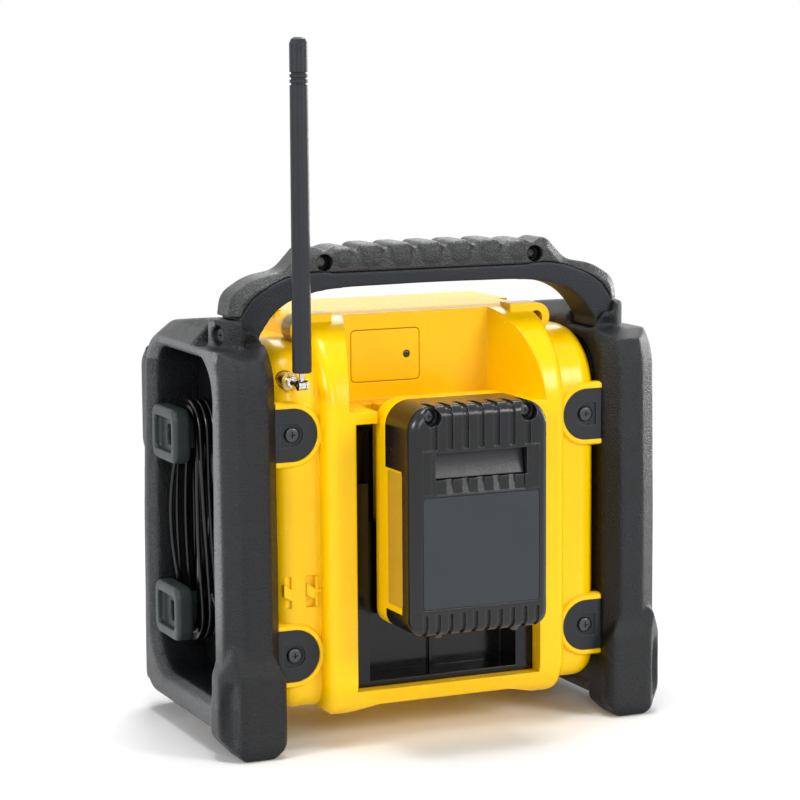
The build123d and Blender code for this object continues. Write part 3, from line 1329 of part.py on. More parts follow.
with BuildPart() as pack_upper_case:
    with BuildSketch(across(PACK_SEAT_Y)):
        with BuildLine():
            FilletPolyline(
                (-PACK_HALF, PACK_BASE),
                (PACK_HALF, PACK_BASE),
                (PACK_HALF, PACK_TOP),
                (-PACK_HALF, PACK_TOP),
                radius=(LOW_CORNER_R, LOW_CORNER_R, TOP_CORNER_R, TOP_CORNER_R),
                close=True,
            )
        make_face()
    extrude(amount=PACK_SEAT_Y - PACK_JOINT_Y)
    fillet(pack_upper_case.edges().group_by(Axis.Y)[0], 1.5)
    with BuildSketch(across(PACK_JOINT_Y)):
        with Locations((0, pack_mid_z)):
            RectangleRounded(2 * (PACK_HALF - PACK_WALL), pack_h - 2 * PACK_WALL, LOW_CORNER_R)
    extrude(amount=PACK_JOINT_Y - PACK_SEAT_Y - PACK_WALL, mode=Mode.SUBTRACT)
    for side in SIDES:
        with BuildSketch(side_on(side * (PACK_HALF - WRAP_T + FIT))):
            with Locations(((PACK_JOINT_Y - 1 + WRAP_Y - FIT) / 2, (WRAP_Z0 + WRAP_Z1) / 2)):
                Rectangle(WRAP_Y - FIT - PACK_JOINT_Y + 1, WRAP_Z1 - WRAP_Z0 - 2 * FIT)
        extrude(amount=side * (WRAP_T - FIT))
    # slim pocket along the top
    with BuildSketch(Plane.XY.offset(PACK_TOP)):
        with Locations((PACK_HALF * 0.2, PACK_JOINT_Y - 6)):
            Rectangle(PACK_HALF * 1.1, 2.4)
    extrude(amount=-1, mode=Mode.SUBTRACT)
    with BuildSketch(Plane.XY.offset(RAIL_BASE)):
        with Locations((0, (flange_y0 + PACK_SEAT_Y) / 2)):
            Rectangle(2 * NECK_HALF, PACK_SEAT_Y - flange_y0)
        with Locations((0, (flange_y0 + flange_y1) / 2)):
            Rectangle(2 * FLANGE_HALF, flange_y1 - flange_y0)
    extrude(amount=PACK_TOP - 5 - RAIL_BASE)
    with BuildSketch(Plane.XY.offset(PACK_BASE - 1)):
        with Locations((0, (flange_y0 + PACK_SEAT_Y) / 2 - 1)):
            Rectangle(2 * (BLOCK_HALF + SLIDING), PACK_SEAT_Y - flange_y0 + 2)
    extrude(amount=BLOCK_BASE + BLOCK_H + BLADE_H + 8 - PACK_BASE, mode=Mode.SUBTRACT)
keep(pack_upper_case.part, "pack_upper_case")

with BuildPart() as pack_latch:
    lever_back = PACK_Y - 8.5 + LATCH_TRAVEL + 0.4
    lever_half_h = LATCH_H / 2 - 0.4
    with BuildSketch(side_on(-LATCH_HALF_X + 0.4)):
        with BuildLine():
            Polyline(
                (lever_back + 1.4, LATCH_Z + lever_half_h),
                (lever_back, LATCH_Z + lever_half_h),
                (lever_back, LATCH_Z - lever_half_h),
                (PACK_Y - 2.4, LATCH_Z - lever_half_h),
            )
            ThreePointArc(
                (PACK_Y - 2.4, LATCH_Z - lever_half_h),
                (lever_back + 2.0, LATCH_Z - 0.5),
                (lever_back + 1.4, LATCH_Z + lever_half_h),
            )
        make_face()
    extrude(amount=2 * LATCH_HALF_X - 0.8)
    with BuildSketch(across(PACK_Y - 6)):
        with Locations((0, LATCH_Z)):
            Rectangle(12, 6.2)
    extrude(amount=6.4)
keep(pack_latch.part, "pack_latch")

with BuildPart() as pack_cells:
    with Locations(
        *((0, PACK_JOINT_Y + FIT + CELL_R, pack_mid_z + (i - (CELL_COUNT - 1) / 2) * (2 * CELL_R + FIT))
          for i in range(CELL_COUNT))
    ):
        Cylinder(CELL_R, CELL_L, rotation=(0, 90, 0))
keep(pack_cells.part, "pack_cells")

# ---------------------------------------------------------------------------------------
# Antenna: socket, swivelling knuckle, folding mast
# ---------------------------------------------------------------------------------------
SPIGOT_R = 1.9
FORK_HALF = 2.5
TONGUE_HALF = 1.1
KNUCKLE_R = 2.6
PIN_R = 0.8
NUT_R = 4.7
STEM_R = 1.4
socket_front = SHOULDER_Y - 9

with BuildPart() as antenna_socket:
    with BuildSketch(turned(ANTENNA_X, ANTENNA_Z)):
        with BuildLine():
            Polyline(
                (SPIGOT_R + RUNNING, socket_front + 1),
                (SPIGOT_R + RUNNING, SHOULDER_Y + 1.2),
                (SPIGOT_R + 0.9, SHOULDER_Y + 2.2),
                (NUT_R - 1.2, SHOULDER_Y + 2.2),
                (NUT_R, SHOULDER_Y + 1.2),
                (NUT_R, SHOULDER_Y),
                (4.2, SHOULDER_Y),
                (4.2, socket_front),
                (SPIGOT_R + RUNNING, socket_front),
                close=True,
            )
        make_face()
    revolve(axis=depth_axis(ANTENNA_X, ANTENNA_Z))
keep(antenna_socket.part, "antenna_socket")

with BuildPart() as antenna_knuckle:
    with BuildSketch(turned(ANTENNA_X, ANTENNA_Z)):
        with BuildLine():
            Polyline(
                (0, SHOULDER_Y - 6),
                (SPIGOT_R, SHOULDER_Y - 6),
                (SPIGOT_R, SHOULDER_Y + 2.4),
                (2.7, SHOULDER_Y + 2.4),
                (2.7, SHOULDER_Y + 4.4),
                (1.8, SHOULDER_Y + 5.2),
                (1.8, MAST_Y - 5.0),
                (KNUCKLE_R, MAST_Y - 4.2),
                (KNUCKLE_R, MAST_Y),
                (0, MAST_Y),
                close=True,
            )
        make_face()
    revolve(axis=depth_axis(ANTENNA_X, ANTENNA_Z))
    with BuildSketch(side_on(ANTENNA_X - FORK_HALF)):
        with Locations((MAST_Y, ANTENNA_Z)):
            Circle(KNUCKLE_R)
    extrude(amount=2 * FORK_HALF)
    with BuildSketch(side_on(ANTENNA_X - TONGUE_HALF - 0.25)):
        with Locations((MAST_Y + 3.6, ANTENNA_Z)):
            Rectangle(14, 15)
    extrude(amount=2 * (TONGUE_HALF + 0.25), mode=Mode.SUBTRACT)
    with BuildSketch(side_on(ANTENNA_X - FORK_HALF)):
        with Locations((MAST_Y, ANTENNA_Z)):
            Circle(PIN_R)
    extrude(amount=2 * FORK_HALF)
keep(antenna_knuckle.part, "antenna_knuckle")

with BuildPart() as antenna_stem:
    with BuildSketch(side_on(ANTENNA_X - TONGUE_HALF)):
        with Locations((MAST_Y, ANTENNA_Z)):
            Circle(KNUCKLE_R - 0.2)
    extrude(amount=2 * TONGUE_HALF)
    with BuildSketch(Plane.XY.offset(ANTENNA_Z)):
        with Locations((ANTENNA_X, MAST_Y)):
            Circle(TONGUE_HALF - 0.1)
    extrude(amount=KNUCKLE_R + 1)
    with BuildSketch(Plane.XY.offset(ANTENNA_Z + KNUCKLE_R + 0.7)):
        with Locations((ANTENNA_X, MAST_Y)):
            Circle(STEM_R)
    extrude(amount=SLEEVE_BASE + 12 - ANTENNA_Z - KNUCKLE_R - 0.7)
    with BuildSketch(side_on(ANTENNA_X - TONGUE_HALF - 1)):
        with Locations((MAST_Y, ANTENNA_Z)):
            Circle(PIN_R + RUNNING)
    extrude(amount=2 * TONGUE_HALF + 2, mode=Mode.SUBTRACT)
keep(antenna_stem.part, "antenna_stem")

with BuildPart() as antenna_sleeve:
    with BuildSketch(Plane(origin=(ANTENNA_X, MAST_Y, 0), x_dir=(1, 0, 0), z_dir=(0, -1, 0))):
        tip_r = SLEEVE_R - 0.35
        groove_zs = [ANTENNA_TOP - 17.2 - i * 2.6 for i in range(3)]
        with BuildLine():
            Polyline(
                (0, ANTENNA_TOP - 1),
                (0, SLEEVE_BASE + 12),
                (STEM_R + 0.05, SLEEVE_BASE + 12),
                (STEM_R + 0.05, SLEEVE_BASE),
                (SLEEVE_R - 0.5, SLEEVE_BASE),
                (SLEEVE_R, SLEEVE_BASE + 0.8),
                (tip_r, groove_zs[-1] - 1),
                *(p for z in reversed(groove_zs)
                  for p in ((tip_r, z - 0.6), (tip_r - 0.7, z - 0.4), (tip_r - 0.7, z + 0.4), (tip_r, z + 0.6))),
                (tip_r, ANTENNA_TOP - 3),
                (tip_r - 0.9, ANTENNA_TOP - 0.9),
                (tip_r - 2.4, ANTENNA_TOP),
                (0, ANTENNA_TOP),
                (0, ANTENNA_TOP - 1),
            )
        make_face()
    revolve(axis=Axis((ANTENNA_X, MAST_Y, 0), (0, 0, 1)))
keep(antenna_sleeve.part, "antenna_sleeve")

# ---------------------------------------------------------------------------------------
# Cord hooks, gland, lead and plug on the right side
# ---------------------------------------------------------------------------------------
panel_x = HOUSING_HALF + PANEL_T
head_x = RIM_X - HOOK_HEAD_T
HOOK_WALL = 5.4              # wall round the recess in a hook's head
for name, height in zip(("upper_hook", "lower_hook"), HOOK_HEIGHTS):
    with BuildPart() as hook:
        with BuildSketch(side_on(head_x)):
            with Locations((HOOK_Y, height)):
                RectangleRounded(2 * HOOK_HALF_Y, 2 * HOOK_HALF_Z, 6.5)
        extrude(amount=HOOK_HEAD_T - 0.4)
        fillet(hook.edges().group_by(Axis.X)[-1], 2)
        fillet(hook.edges().group_by(Axis.X)[0], 2.5)
        with BuildSketch(side_on(RIM_X)):
            with Locations((HOOK_Y, height)):
                RectangleRounded(2 * (HOOK_HALF_Y - HOOK_WALL), 2 * (HOOK_HALF_Z - HOOK_WALL), 2.5)
        extrude(amount=-4, mode=Mode.SUBTRACT)
        with BuildSketch(side_on(panel_x)):
            with Locations((HOOK_Y, height)):
                RectangleRounded(2 * POST_HALF + 2, 2 * POST_HALF, 3)
        extrude(amount=head_x - panel_x + 1)
        with BuildSketch(side_on(RIM_X)):
            with Locations((HOOK_Y + 2, height - 0.5)):
                RectangleRounded(11, 10.5, 1.5)
        extrude(amount=-(RIM_X - panel_x - 4), mode=Mode.SUBTRACT)
    keep(hook.part, name)

GLAND_Y, GLAND_Z, GLAND_TIP_Y = 14.0, 40.0, -12.0
gland_x = panel_x + 5.2
with BuildPart() as cord_gland:
    with BuildSketch(side_on(panel_x)):
        with Locations((GLAND_Y, GLAND_Z)):
            RectangleRounded(12, 12, 2)
    extrude(amount=10)
    with BuildSketch(across(GLAND_Y - 5)):
        with Locations((gland_x, GLAND_Z)):
            Circle(4.4)
    with BuildSketch(across(GLAND_TIP_Y)):
        with Locations((gland_x, GLAND_Z)):
            Circle(CORD_W / 2 + 0.7)
    loft()
keep(cord_gland.part, "cord_gland")

with BuildPart() as cord_hank:
    with BuildSketch(side_on(HANK_X0)):
        span = HOOK_HEIGHTS[0] - HOOK_HEIGHTS[1]
        with Locations((HOOK_Y, sum(HOOK_HEIGHTS) / 2)):
            SlotCenterToCenter(span, 2 * HANK_OUT, rotation=90)
            SlotCenterToCenter(span, 2 * HANK_IN, rotation=90, mode=Mode.SUBTRACT)
    extrude(amount=HANK_X1 - HANK_X0)
keep(cord_hank.part, "cord_hank")

lead_points = ((gland_x, GLAND_TIP_Y, GLAND_Z), (gland_x, GLAND_TIP_Y - 10.5, GLAND_Z), (gland_x + 1.6, -34.3, 44.8))
PLUG_Y, PLUG_Z0, PLUG_L, PLUG_W, PLUG_T = 14.0, 98.0, 34.0, 22.0, 13.6
plug_x = panel_x + FIT + PLUG_T / 2
RELIEF_L = 12.0
tail_points = (
    (plug_x, PLUG_Y, PLUG_Z0 - RELIEF_L),
    (plug_x, PLUG_Y, 74.0),
    (plug_x + 0.6, PLUG_Y - 8.5, 64.5),
    (plug_x + 1.4, PLUG_Y - 23.5, 60.2),
    (plug_x + 1.8, -27.0, 62.9),
)


def corner_radii(points):
    """The largest arc that the two runs at each corner leave room for."""
    radii = []
    for before, corner, after in zip(points, points[1:], points[2:]):
        run_in, run_out = Vector(*corner) - Vector(*before), Vector(*after) - Vector(*corner)
        half_turn = radians(run_in.get_angle(run_out)) / 2
        radii.append(0.45 * min(run_in.length, run_out.length) / tan(half_turn))
    return radii


for name, points in (("cord_lead", lead_points), ("cord_tail", tail_points)):
    radii = corner_radii(points)
    print(name, "arc radii", [round(r, 1) for r in radii])
    with BuildPart() as tube:
        with BuildLine() as path:
            FilletPolyline(*points, radius=radii)
        start = Vector(*points[0])
        with BuildSketch(Plane(origin=start, z_dir=Vector(*points[1]) - start)):
            Circle(CORD_W / 2)
        sweep()
    keep(tube.part, name)

with BuildPart() as mains_plug:
    with BuildSketch(Plane.XY.offset(PLUG_Z0)):
        with Locations((plug_x, PLUG_Y)):
            RectangleRounded(PLUG_T - 1, PLUG_W - 8, 4)
    with BuildSketch(Plane.XY.offset(PLUG_Z0 + PLUG_L * 0.6)):
        with Locations((plug_x, PLUG_Y)):
            RectangleRounded(PLUG_T, PLUG_W, 4)
    with BuildSketch(Plane.XY.offset(PLUG_Z0 + PLUG_L)):
        with Locations((plug_x, PLUG_Y)):
            RectangleRounded(PLUG_T, PLUG_W, 4)
    loft(ruled=True)
    with BuildSketch(Plane.XY.offset(PLUG_Z0 + PLUG_L)):
        with Locations((plug_x, PLUG_Y)):
            with GridLocations(1, 15.0, 1, 2):
                Circle(2)
    extrude(amount=19)
    with BuildSketch(Plane.XY.offset(PLUG_Z0 - RELIEF_L)):
        with Locations((plug_x, PLUG_Y)):
            Circle(CORD_W / 2 + 0.6)
    with BuildSketch(Plane.XY.offset(PLUG_Z0)):
        with Locations((plug_x, PLUG_Y)):
            Circle(4.4)
    loft()
keep(mains_plug.part, "mains_plug")
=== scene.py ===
import logging
import math
from dataclasses import dataclass
from enum import Enum

import bmesh
import bpy
from mathutils import Matrix, Vector


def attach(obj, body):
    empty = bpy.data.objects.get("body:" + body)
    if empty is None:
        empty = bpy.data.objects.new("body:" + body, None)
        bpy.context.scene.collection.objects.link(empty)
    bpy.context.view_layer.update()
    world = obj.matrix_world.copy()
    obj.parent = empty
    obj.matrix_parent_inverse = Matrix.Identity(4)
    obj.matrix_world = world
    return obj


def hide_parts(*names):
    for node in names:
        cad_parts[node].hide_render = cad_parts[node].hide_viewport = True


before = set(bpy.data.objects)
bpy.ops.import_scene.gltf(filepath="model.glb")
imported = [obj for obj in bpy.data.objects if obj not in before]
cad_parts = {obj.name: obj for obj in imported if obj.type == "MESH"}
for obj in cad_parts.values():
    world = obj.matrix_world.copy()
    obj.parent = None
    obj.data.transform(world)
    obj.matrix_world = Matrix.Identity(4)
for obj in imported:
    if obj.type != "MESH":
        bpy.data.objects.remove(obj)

# Jobsite radio with a carry handle, a slide-on pack, a folding antenna and a wound lead.
# Metres. +Z is up, the speaker front faces -Y, the battery back faces +Y, and the side with
# the cord hooks is +X.

Colour = tuple[float, float, float, float]
Point = tuple[float, float, float]
ControlPoint = tuple[Point, float]
Socket = bpy.types.NodeSocket

log = logging.getLogger("jobsite_radio")
MM = 0.001
SIDES = (1, -1)
BACKWARDS = (0.0, 1.0, 0.0)
DOWNWARDS = (0.0, 0.0, -1.0)
# the attribute that marks where a frame's rim gets a painted sheen
PAINTED_SHEEN_RIM = "rim"
# corners of a solid's loose triangles that lie closer than this are one corner
MERGE_REACH = 0.002 * MM
# rays that a finish sends out to soften an edge
BEVEL_SAMPLES = 6
# sockets of a Mix node in its colour mode
MIX_SHARE, MIX_FIRST, MIX_SECOND, MIX_RESULT = 0, 6, 7, 2


def in_metres(x: float, y: float, z: float) -> Point:
    """Turns a place in millimetres into metres."""
    return (x * MM, y * MM, z * MM)


def ramp(value: float, start: float, run: float) -> float:
    """How far a value has come along a run, held between 0 and 1.

    Args:
        value: the value.
        start: where the share is 0.
        run: how far on the share is 1, negative where it lies below the start.

    Returns:
        The share.
    """
    return max(0.0, min(1.0, (value - start) / run))


def srgb(red: int, green: int, blue: int) -> Colour:
    """Turns screen values into a linear colour.

    Args:
        red: 0 to 255.
        green: 0 to 255.
        blue: 0 to 255.

    Returns:
        The linear colour with an alpha of 1.
    """
    def linear(value: int) -> float:
        """One channel from screen to linear."""
        share = value / 255
        return share / 12.92 if share <= 0.04045 else ((share + 0.055) / 1.055) ** 2.4

    return (linear(red), linear(green), linear(blue), 1.0)


# ---- Finishes ----
class Graph:
    """A material's node tree, with short ways to add and join nodes."""

    def __init__(self, name: str) -> None:
        """Starts an empty tree with its output.

        Args:
            name: the material's name.
        """
        self.material = bpy.data.materials.new(name)
        self.material.use_nodes = True
        self.tree = self.material.node_tree
        self.tree.nodes.clear()
        self.output = self.add("ShaderNodeOutputMaterial")

    @classmethod
    def on(cls, tree: bpy.types.NodeTree) -> "Graph":
        """The same short ways on a tree that is already there."""
        graph = cls.__new__(cls)
        graph.tree = tree
        return graph

    def add(self, kind: str, **values: object) -> bpy.types.Node:
        """Adds a node and sets its properties or sockets by name.

        Args:
            kind: the node's type.
            values: properties, or sockets with underscores for spaces.

        Returns:
            The new node.
        """
        node = self.tree.nodes.new(kind)
        for key, value in values.items():
            if hasattr(node, key):
                setattr(node, key, value)
            else:
                node.inputs[key.replace("_", " ")].default_value = value
        return node

    def join(self, source: Socket, target: Socket) -> None:
        """Links one socket to another."""
        self.tree.links.new(source, target)

    def place(self) -> Socket:
        """The object-space position that every pattern reads."""
        return self.add("ShaderNodeTexCoord").outputs["Object"]

    def noise(self, scale: float, detail: float = 2.0, roughness: float = 0.5) -> Socket:
        """A noise pattern over the object.

        Args:
            scale: cycles per metre.
            detail: octaves.
            roughness: how much the fine octaves count.

        Returns:
            The pattern's value, 0 to 1.
        """
        node = self.add("ShaderNodeTexNoise", Scale=scale, Detail=detail, Roughness=roughness)
        self.join(self.place(), node.inputs["Vector"])
        return node.outputs["Fac"]

    def feed(self, value: Socket | Colour | float, target: Socket) -> None:
        """Links a socket to another one, or sets it to a plain value."""
        if isinstance(value, Socket):
            self.join(value, target)
        else:
            target.default_value = value

    def span(self, value: Socket, low: float, high: float,
             to_low: float = 0.0, to_high: float = 1.0) -> Socket:
        """Maps a value from one range to another, held at the ends."""
        node = self.add("ShaderNodeMapRange")
        self.join(value, node.inputs["Value"])
        for key, number in zip(("From Min", "From Max", "To Min", "To Max"), (low, high, to_low, to_high)):
            node.inputs[key].default_value = number
        return node.outputs["Result"]

    def blend(self, share: Socket, first: Socket | Colour, second: Colour) -> Socket:
        """Mixes a pattern or a plain colour towards a plain colour by a share."""
        node = self.add("ShaderNodeMix", data_type="RGBA")
        self.join(share, node.inputs[MIX_SHARE])
        self.feed(first, node.inputs[MIX_FIRST])
        self.feed(second, node.inputs[MIX_SECOND])
        return node.outputs[MIX_RESULT]

    def product(self, first: Socket, second: Socket | float) -> Socket:
        """A value multiplied by another value or by a number."""
        node = self.add("ShaderNodeMath", operation="MULTIPLY")
        self.join(first, node.inputs[0])
        self.feed(second, node.inputs[1])
        return node.outputs[0]

    def seen(self) -> Socket:
        """A share that is 1 where the camera, a reflection or a clear piece shows the background."""
        path = self.add("ShaderNodeLightPath")
        share = path.outputs["Is Camera Ray"]
        for way in ("Is Glossy Ray", "Is Transmission Ray"):
            node = self.add("ShaderNodeMath", operation="MAXIMUM")
            self.join(share, node.inputs[0])
            self.join(path.outputs[way], node.inputs[1])
            share = node.outputs[0]
        return share

    def edge(self, radius: float, sharp: float = 0.86) -> Socket:
        """A share that is 1 on the object's sharp edges and 0 on its faces.

        Args:
            radius: how wide the edges are softened.
            sharp: the cosine of the turn at which the share is 1.

        Returns:
            The share.
        """
        bevel = self.add("ShaderNodeBevel", samples=BEVEL_SAMPLES, Radius=radius)
        shape = self.add("ShaderNodeNewGeometry")
        dot = self.add("ShaderNodeVectorMath", operation="DOT_PRODUCT")
        self.join(bevel.outputs["Normal"], dot.inputs[0])
        self.join(shape.outputs["Normal"], dot.inputs[1])
        return self.span(dot.outputs["Value"], 1.0, sharp)


def finish_name(name: str) -> str:
    """A finish's material name, apart from the frame's own plain materials."""
    return f"{name}_finish"


def shaded(colour: Colour, factor: float) -> Colour:
    """The same colour, lighter or darker by a factor."""
    red, green, blue = (min(channel * factor, 1.0) for channel in colour[:3])
    return (red, green, blue, 1.0)


@dataclass(frozen=True)
class Moulded:
    """Plastic, rubber or metal with its grain, cloudiness, a painted sheen on rims, edges lighter by wear
    and a painted highlight, and soft edges.

    Scales are in cycles per metre, and grain_depth and edge_radius are in metres. The shares
    cloud, grain_tint and edge_light say how much a pattern shows.
    """

    name: str
    colour: Colour
    rough: float
    rough_less: float = 0.05
    rough_more: float = 0.07
    rough_scale: float = 160.0
    grain_scale: float = 1400.0
    grain_depth: float = 0.0
    grain_tint: float = 0.0
    grain_lift: float = 6.0
    cloud: float = 0.06
    cloud_scale: float = 38.0
    # edge_light, edge_reach, edge_colour and grit_scale: sharp edges painted lighter, partly wear and partly
    # a painted highlight
    edge_light: float = 0.0
    edge_radius: float = 0.5 * MM
    edge_reach: float = 2.4
    edge_colour: Colour = srgb(120, 122, 126)
    grit_scale: float = 900.0
    specular: float = 0.5
    metallic: float = 0.0
    # the attribute and colour of a painted sheen along a rim
    rim: str = ""
    painted_sheen_colour: Colour = srgb(128, 130, 132)

    def grain(self, g: Graph) -> Socket:
        """The pebbled grain's height, 0 to 1."""
        return g.span(g.noise(self.grain_scale, 2.0, 0.55), 0.3, 0.7)

    def tone(self, g: Graph) -> Socket:
        """The colour with its cloudiness, grain, a painted sheen on rims, and edges lighter by wear and a
        painted highlight.

        Args:
            g: the material's graph.

        Returns:
            The colour socket.
        """
        clouds = g.span(g.noise(self.cloud_scale, 4.0, 0.6), 0.35, 0.65)
        colour = g.blend(clouds, shaded(self.colour, 1 - self.cloud), shaded(self.colour, 1 + self.cloud))
        if self.grain_tint:
            light = shaded(self.colour, 1 + self.grain_lift * (self.cloud + self.grain_tint))
            colour = g.blend(g.product(self.grain(g), self.grain_tint), colour, light)
        # painted sheen: the rim attribute lightens the colour, speckled by the grain
        if self.rim:
            band = g.add("ShaderNodeAttribute", attribute_name=self.rim).outputs["Fac"]
            speckle = g.span(self.grain(g), 0.2, 0.8, 0.42, 1.0)
            colour = g.blend(g.product(band, speckle), colour, self.painted_sheen_colour)
        # edges lighter partly by wear and partly by a painted highlight, broken up by grit
        if self.edge_light:
            grit = g.span(g.noise(self.grit_scale, 3.0, 0.7), 0.35, 0.6, 0.35, 1.0)
            wear_and_highlight = g.product(g.edge(self.edge_radius * self.edge_reach), grit)
            colour = g.blend(g.product(wear_and_highlight, self.edge_light), colour, self.edge_colour)
        return colour

    def make(self) -> bpy.types.Material:
        """Builds the material.

        Returns:
            The node material.
        """
        g = Graph(finish_name(self.name))
        shader = g.add("ShaderNodeBsdfPrincipled")
        g.join(self.tone(g), shader.inputs["Base Color"])
        smears = g.noise(self.rough_scale, 5.0, 0.65)
        g.join(g.span(smears, 0.3, 0.7, self.rough - self.rough_less, self.rough + self.rough_more),
               shader.inputs["Roughness"])
        shader.inputs["Metallic"].default_value = self.metallic
        shader.inputs["Specular IOR Level"].default_value = self.specular
        softened = g.add("ShaderNodeBevel", samples=BEVEL_SAMPLES, Radius=self.edge_radius)
        normal = softened.outputs["Normal"]
        if self.grain_depth:
            bump = g.add("ShaderNodeBump", Strength=1.0, Distance=self.grain_depth)
            g.join(self.grain(g), bump.inputs["Height"])
            g.join(normal, bump.inputs["Normal"])
            normal = bump.outputs["Normal"]
        g.join(normal, shader.inputs["Normal"])
        g.join(shader.outputs[0], g.output.inputs["Surface"])
        return g.material


@dataclass(frozen=True)
class Glazing:
    """Clear or tinted plastic over a display."""

    name: str
    colour: Colour
    rough: float = 0.04
    rough_more: float = 0.03
    rough_scale: float = 220.0
    bending: float = 1.49
    clearness: float = 0.75

    def make(self) -> bpy.types.Material:
        """Builds the material.

        Returns:
            The node material.
        """
        g = Graph(finish_name(self.name))
        shader = g.add("ShaderNodeBsdfPrincipled")
        shader.inputs["Base Color"].default_value = self.colour
        shader.inputs["IOR"].default_value = self.bending
        shader.inputs["Transmission Weight"].default_value = self.clearness
        g.join(g.span(g.noise(self.rough_scale), 0.3, 0.7, self.rough, self.rough + self.rough_more),
               shader.inputs["Roughness"])
        g.join(shader.outputs[0], g.output.inputs["Surface"])
        return g.material


class Finish(Enum):
    """Every finish on the radio."""

    YELLOW = Moulded("yellow_shell", srgb(252, 200, 0), rough=0.22, grain_scale=900.0, grain_depth=0.00001,
                     cloud=0.02, edge_radius=1.2 * MM, specular=0.3)
    # the frame's rim gets a painted sheen
    FRAME = Moulded("frame_rubber", srgb(14, 16, 19), rough=0.32, grain_scale=1250.0, grain_depth=0.00028,
                    grain_tint=0.12, cloud=0.10, specular=0.3, edge_radius=0.6 * MM, rim=PAINTED_SHEEN_RIM)
    GRIP = Moulded("grip_rubber", srgb(14, 16, 19), rough=0.3, grain_scale=1150.0, grain_depth=0.00022,
                   grain_tint=0.14, cloud=0.08, edge_radius=0.8 * MM)
    # edge_light on CORE, LUG, HOOK, PACK and KNOB paints edges lighter, partly wear and partly a painted
    # highlight
    CORE = Moulded("handle_plastic", srgb(28, 31, 35), rough=0.42, grain_scale=1000.0, grain_depth=0.00010,
                   grain_tint=0.10, specular=0.24, edge_light=0.15, edge_radius=0.9 * MM)
    PANEL = Moulded("side_panel_plastic", srgb(14, 15, 17), rough=0.4, grain_scale=1200.0,
                    grain_depth=0.00004, specular=0.2)
    FASCIA = Moulded("fascia_plastic", srgb(28, 30, 33), rough=0.42, grain_scale=1000.0,
                     grain_depth=0.00007, grain_tint=0.08, specular=0.3, edge_radius=0.7 * MM)
    LUG = Moulded("lug_plastic", srgb(36, 39, 43), rough=0.46, grain_scale=1100.0, grain_depth=0.00008,
                  grain_tint=0.10, specular=0.25, edge_light=0.15)
    HOOK = Moulded("hook_plastic", srgb(48, 54, 55), rough=0.38, grain_scale=1000.0, grain_depth=0.00004,
                   grain_tint=0.04, specular=0.3, edge_light=0.2, edge_radius=0.8 * MM)
    BAY = Moulded("bay_plastic", srgb(5, 5, 6), rough=0.14, grain_scale=700.0, grain_depth=0.00001,
                  cloud=0.05, specular=0.34, edge_radius=0.6 * MM)
    PACK = Moulded("pack_plastic", srgb(17, 18, 20), rough=0.22, grain_depth=0.00001,
                   grain_tint=0.14, specular=0.42, edge_light=0.1, edge_radius=0.7 * MM)
    LATCH = Moulded("latch_plastic", srgb(27, 28, 31), rough=0.34, grain_depth=0.00004,
                    specular=0.36, edge_radius=0.6 * MM)
    LABEL = Moulded("label_plate", srgb(47, 51, 57), rough=0.34, grain_scale=1800.0, grain_depth=0.00003,
                    cloud=0.04, specular=0.3)
    BADGE = Moulded("side_badge", srgb(196, 152, 40), rough=0.34, grain_scale=1800.0, grain_depth=0.00003,
                    specular=0.3)
    SCREW = Moulded("blackened_screw", srgb(74, 75, 78), rough=0.27, grain_scale=2400.0,
                    grain_depth=0.00002, cloud=0.1, metallic=0.85, edge_radius=0.2 * MM)
    CHROME = Moulded("bright_plating", srgb(214, 214, 216), rough=0.12, grain_scale=3000.0, cloud=0.03,
                     metallic=1.0, edge_radius=0.2 * MM)
    BRASS = Moulded("antenna_nut", srgb(206, 176, 110), rough=0.24, grain_scale=3000.0, cloud=0.05,
                    metallic=1.0, edge_radius=0.2 * MM)
    SHEATH = Moulded("antenna_sheath", srgb(34, 36, 40), rough=0.36, grain_scale=1600.0,
                     grain_depth=0.00002, specular=0.3, edge_radius=0.3 * MM)
    GRILLE = Moulded("grille_paint", srgb(28, 28, 30), rough=0.4, grain_scale=2600.0, grain_depth=0.00005,
                     cloud=0.05, edge_radius=0.4 * MM)
    CONE = Moulded("cone_paper", srgb(30, 31, 34), rough=0.6, grain_scale=2400.0, grain_depth=0.0001,
                   cloud=0.12)
    BASKET = Moulded("basket_steel", srgb(60, 60, 64), rough=0.4, grain_scale=2000.0, grain_depth=0.00003,
                     cloud=0.08, metallic=0.6)
    KNOB = Moulded("knob_plastic", srgb(28, 29, 31), rough=0.4, grain_scale=1600.0, grain_depth=0.00005,
                   grain_tint=0.08, specular=0.34, edge_light=0.15)
    KEY = Moulded("key_rubber", srgb(50, 53, 57), rough=0.5, grain_scale=1800.0, grain_depth=0.00004,
                  edge_radius=0.4 * MM)
    LENS = Glazing("display_lens", srgb(150, 165, 160))
    DISPLAY = Moulded("display_module", srgb(120, 138, 110), rough=0.4, grain_scale=2000.0, cloud=0.03)
    BOARD = Moulded("circuit_board", srgb(20, 84, 46), rough=0.4, grain_scale=1500.0, grain_depth=0.00003,
                    cloud=0.1)
    STEEL = Moulded("plain_steel", srgb(150, 150, 150), rough=0.35, grain_scale=2000.0, grain_depth=0.00002,
                    cloud=0.08, metallic=0.9)
    CELL = Moulded("cell_wrap", srgb(40, 110, 180), rough=0.35, grain_scale=2000.0, cloud=0.04)
    LEAD = Moulded("lead_rubber", srgb(12, 12, 14), rough=0.14, grain_scale=2000.0, grain_depth=0.00001,
                   cloud=0.08)

    def material(self) -> bpy.types.Material:
        """The finish's material, built on first use."""
        return bpy.data.materials.get(finish_name(self.value.name)) or self.value.make()


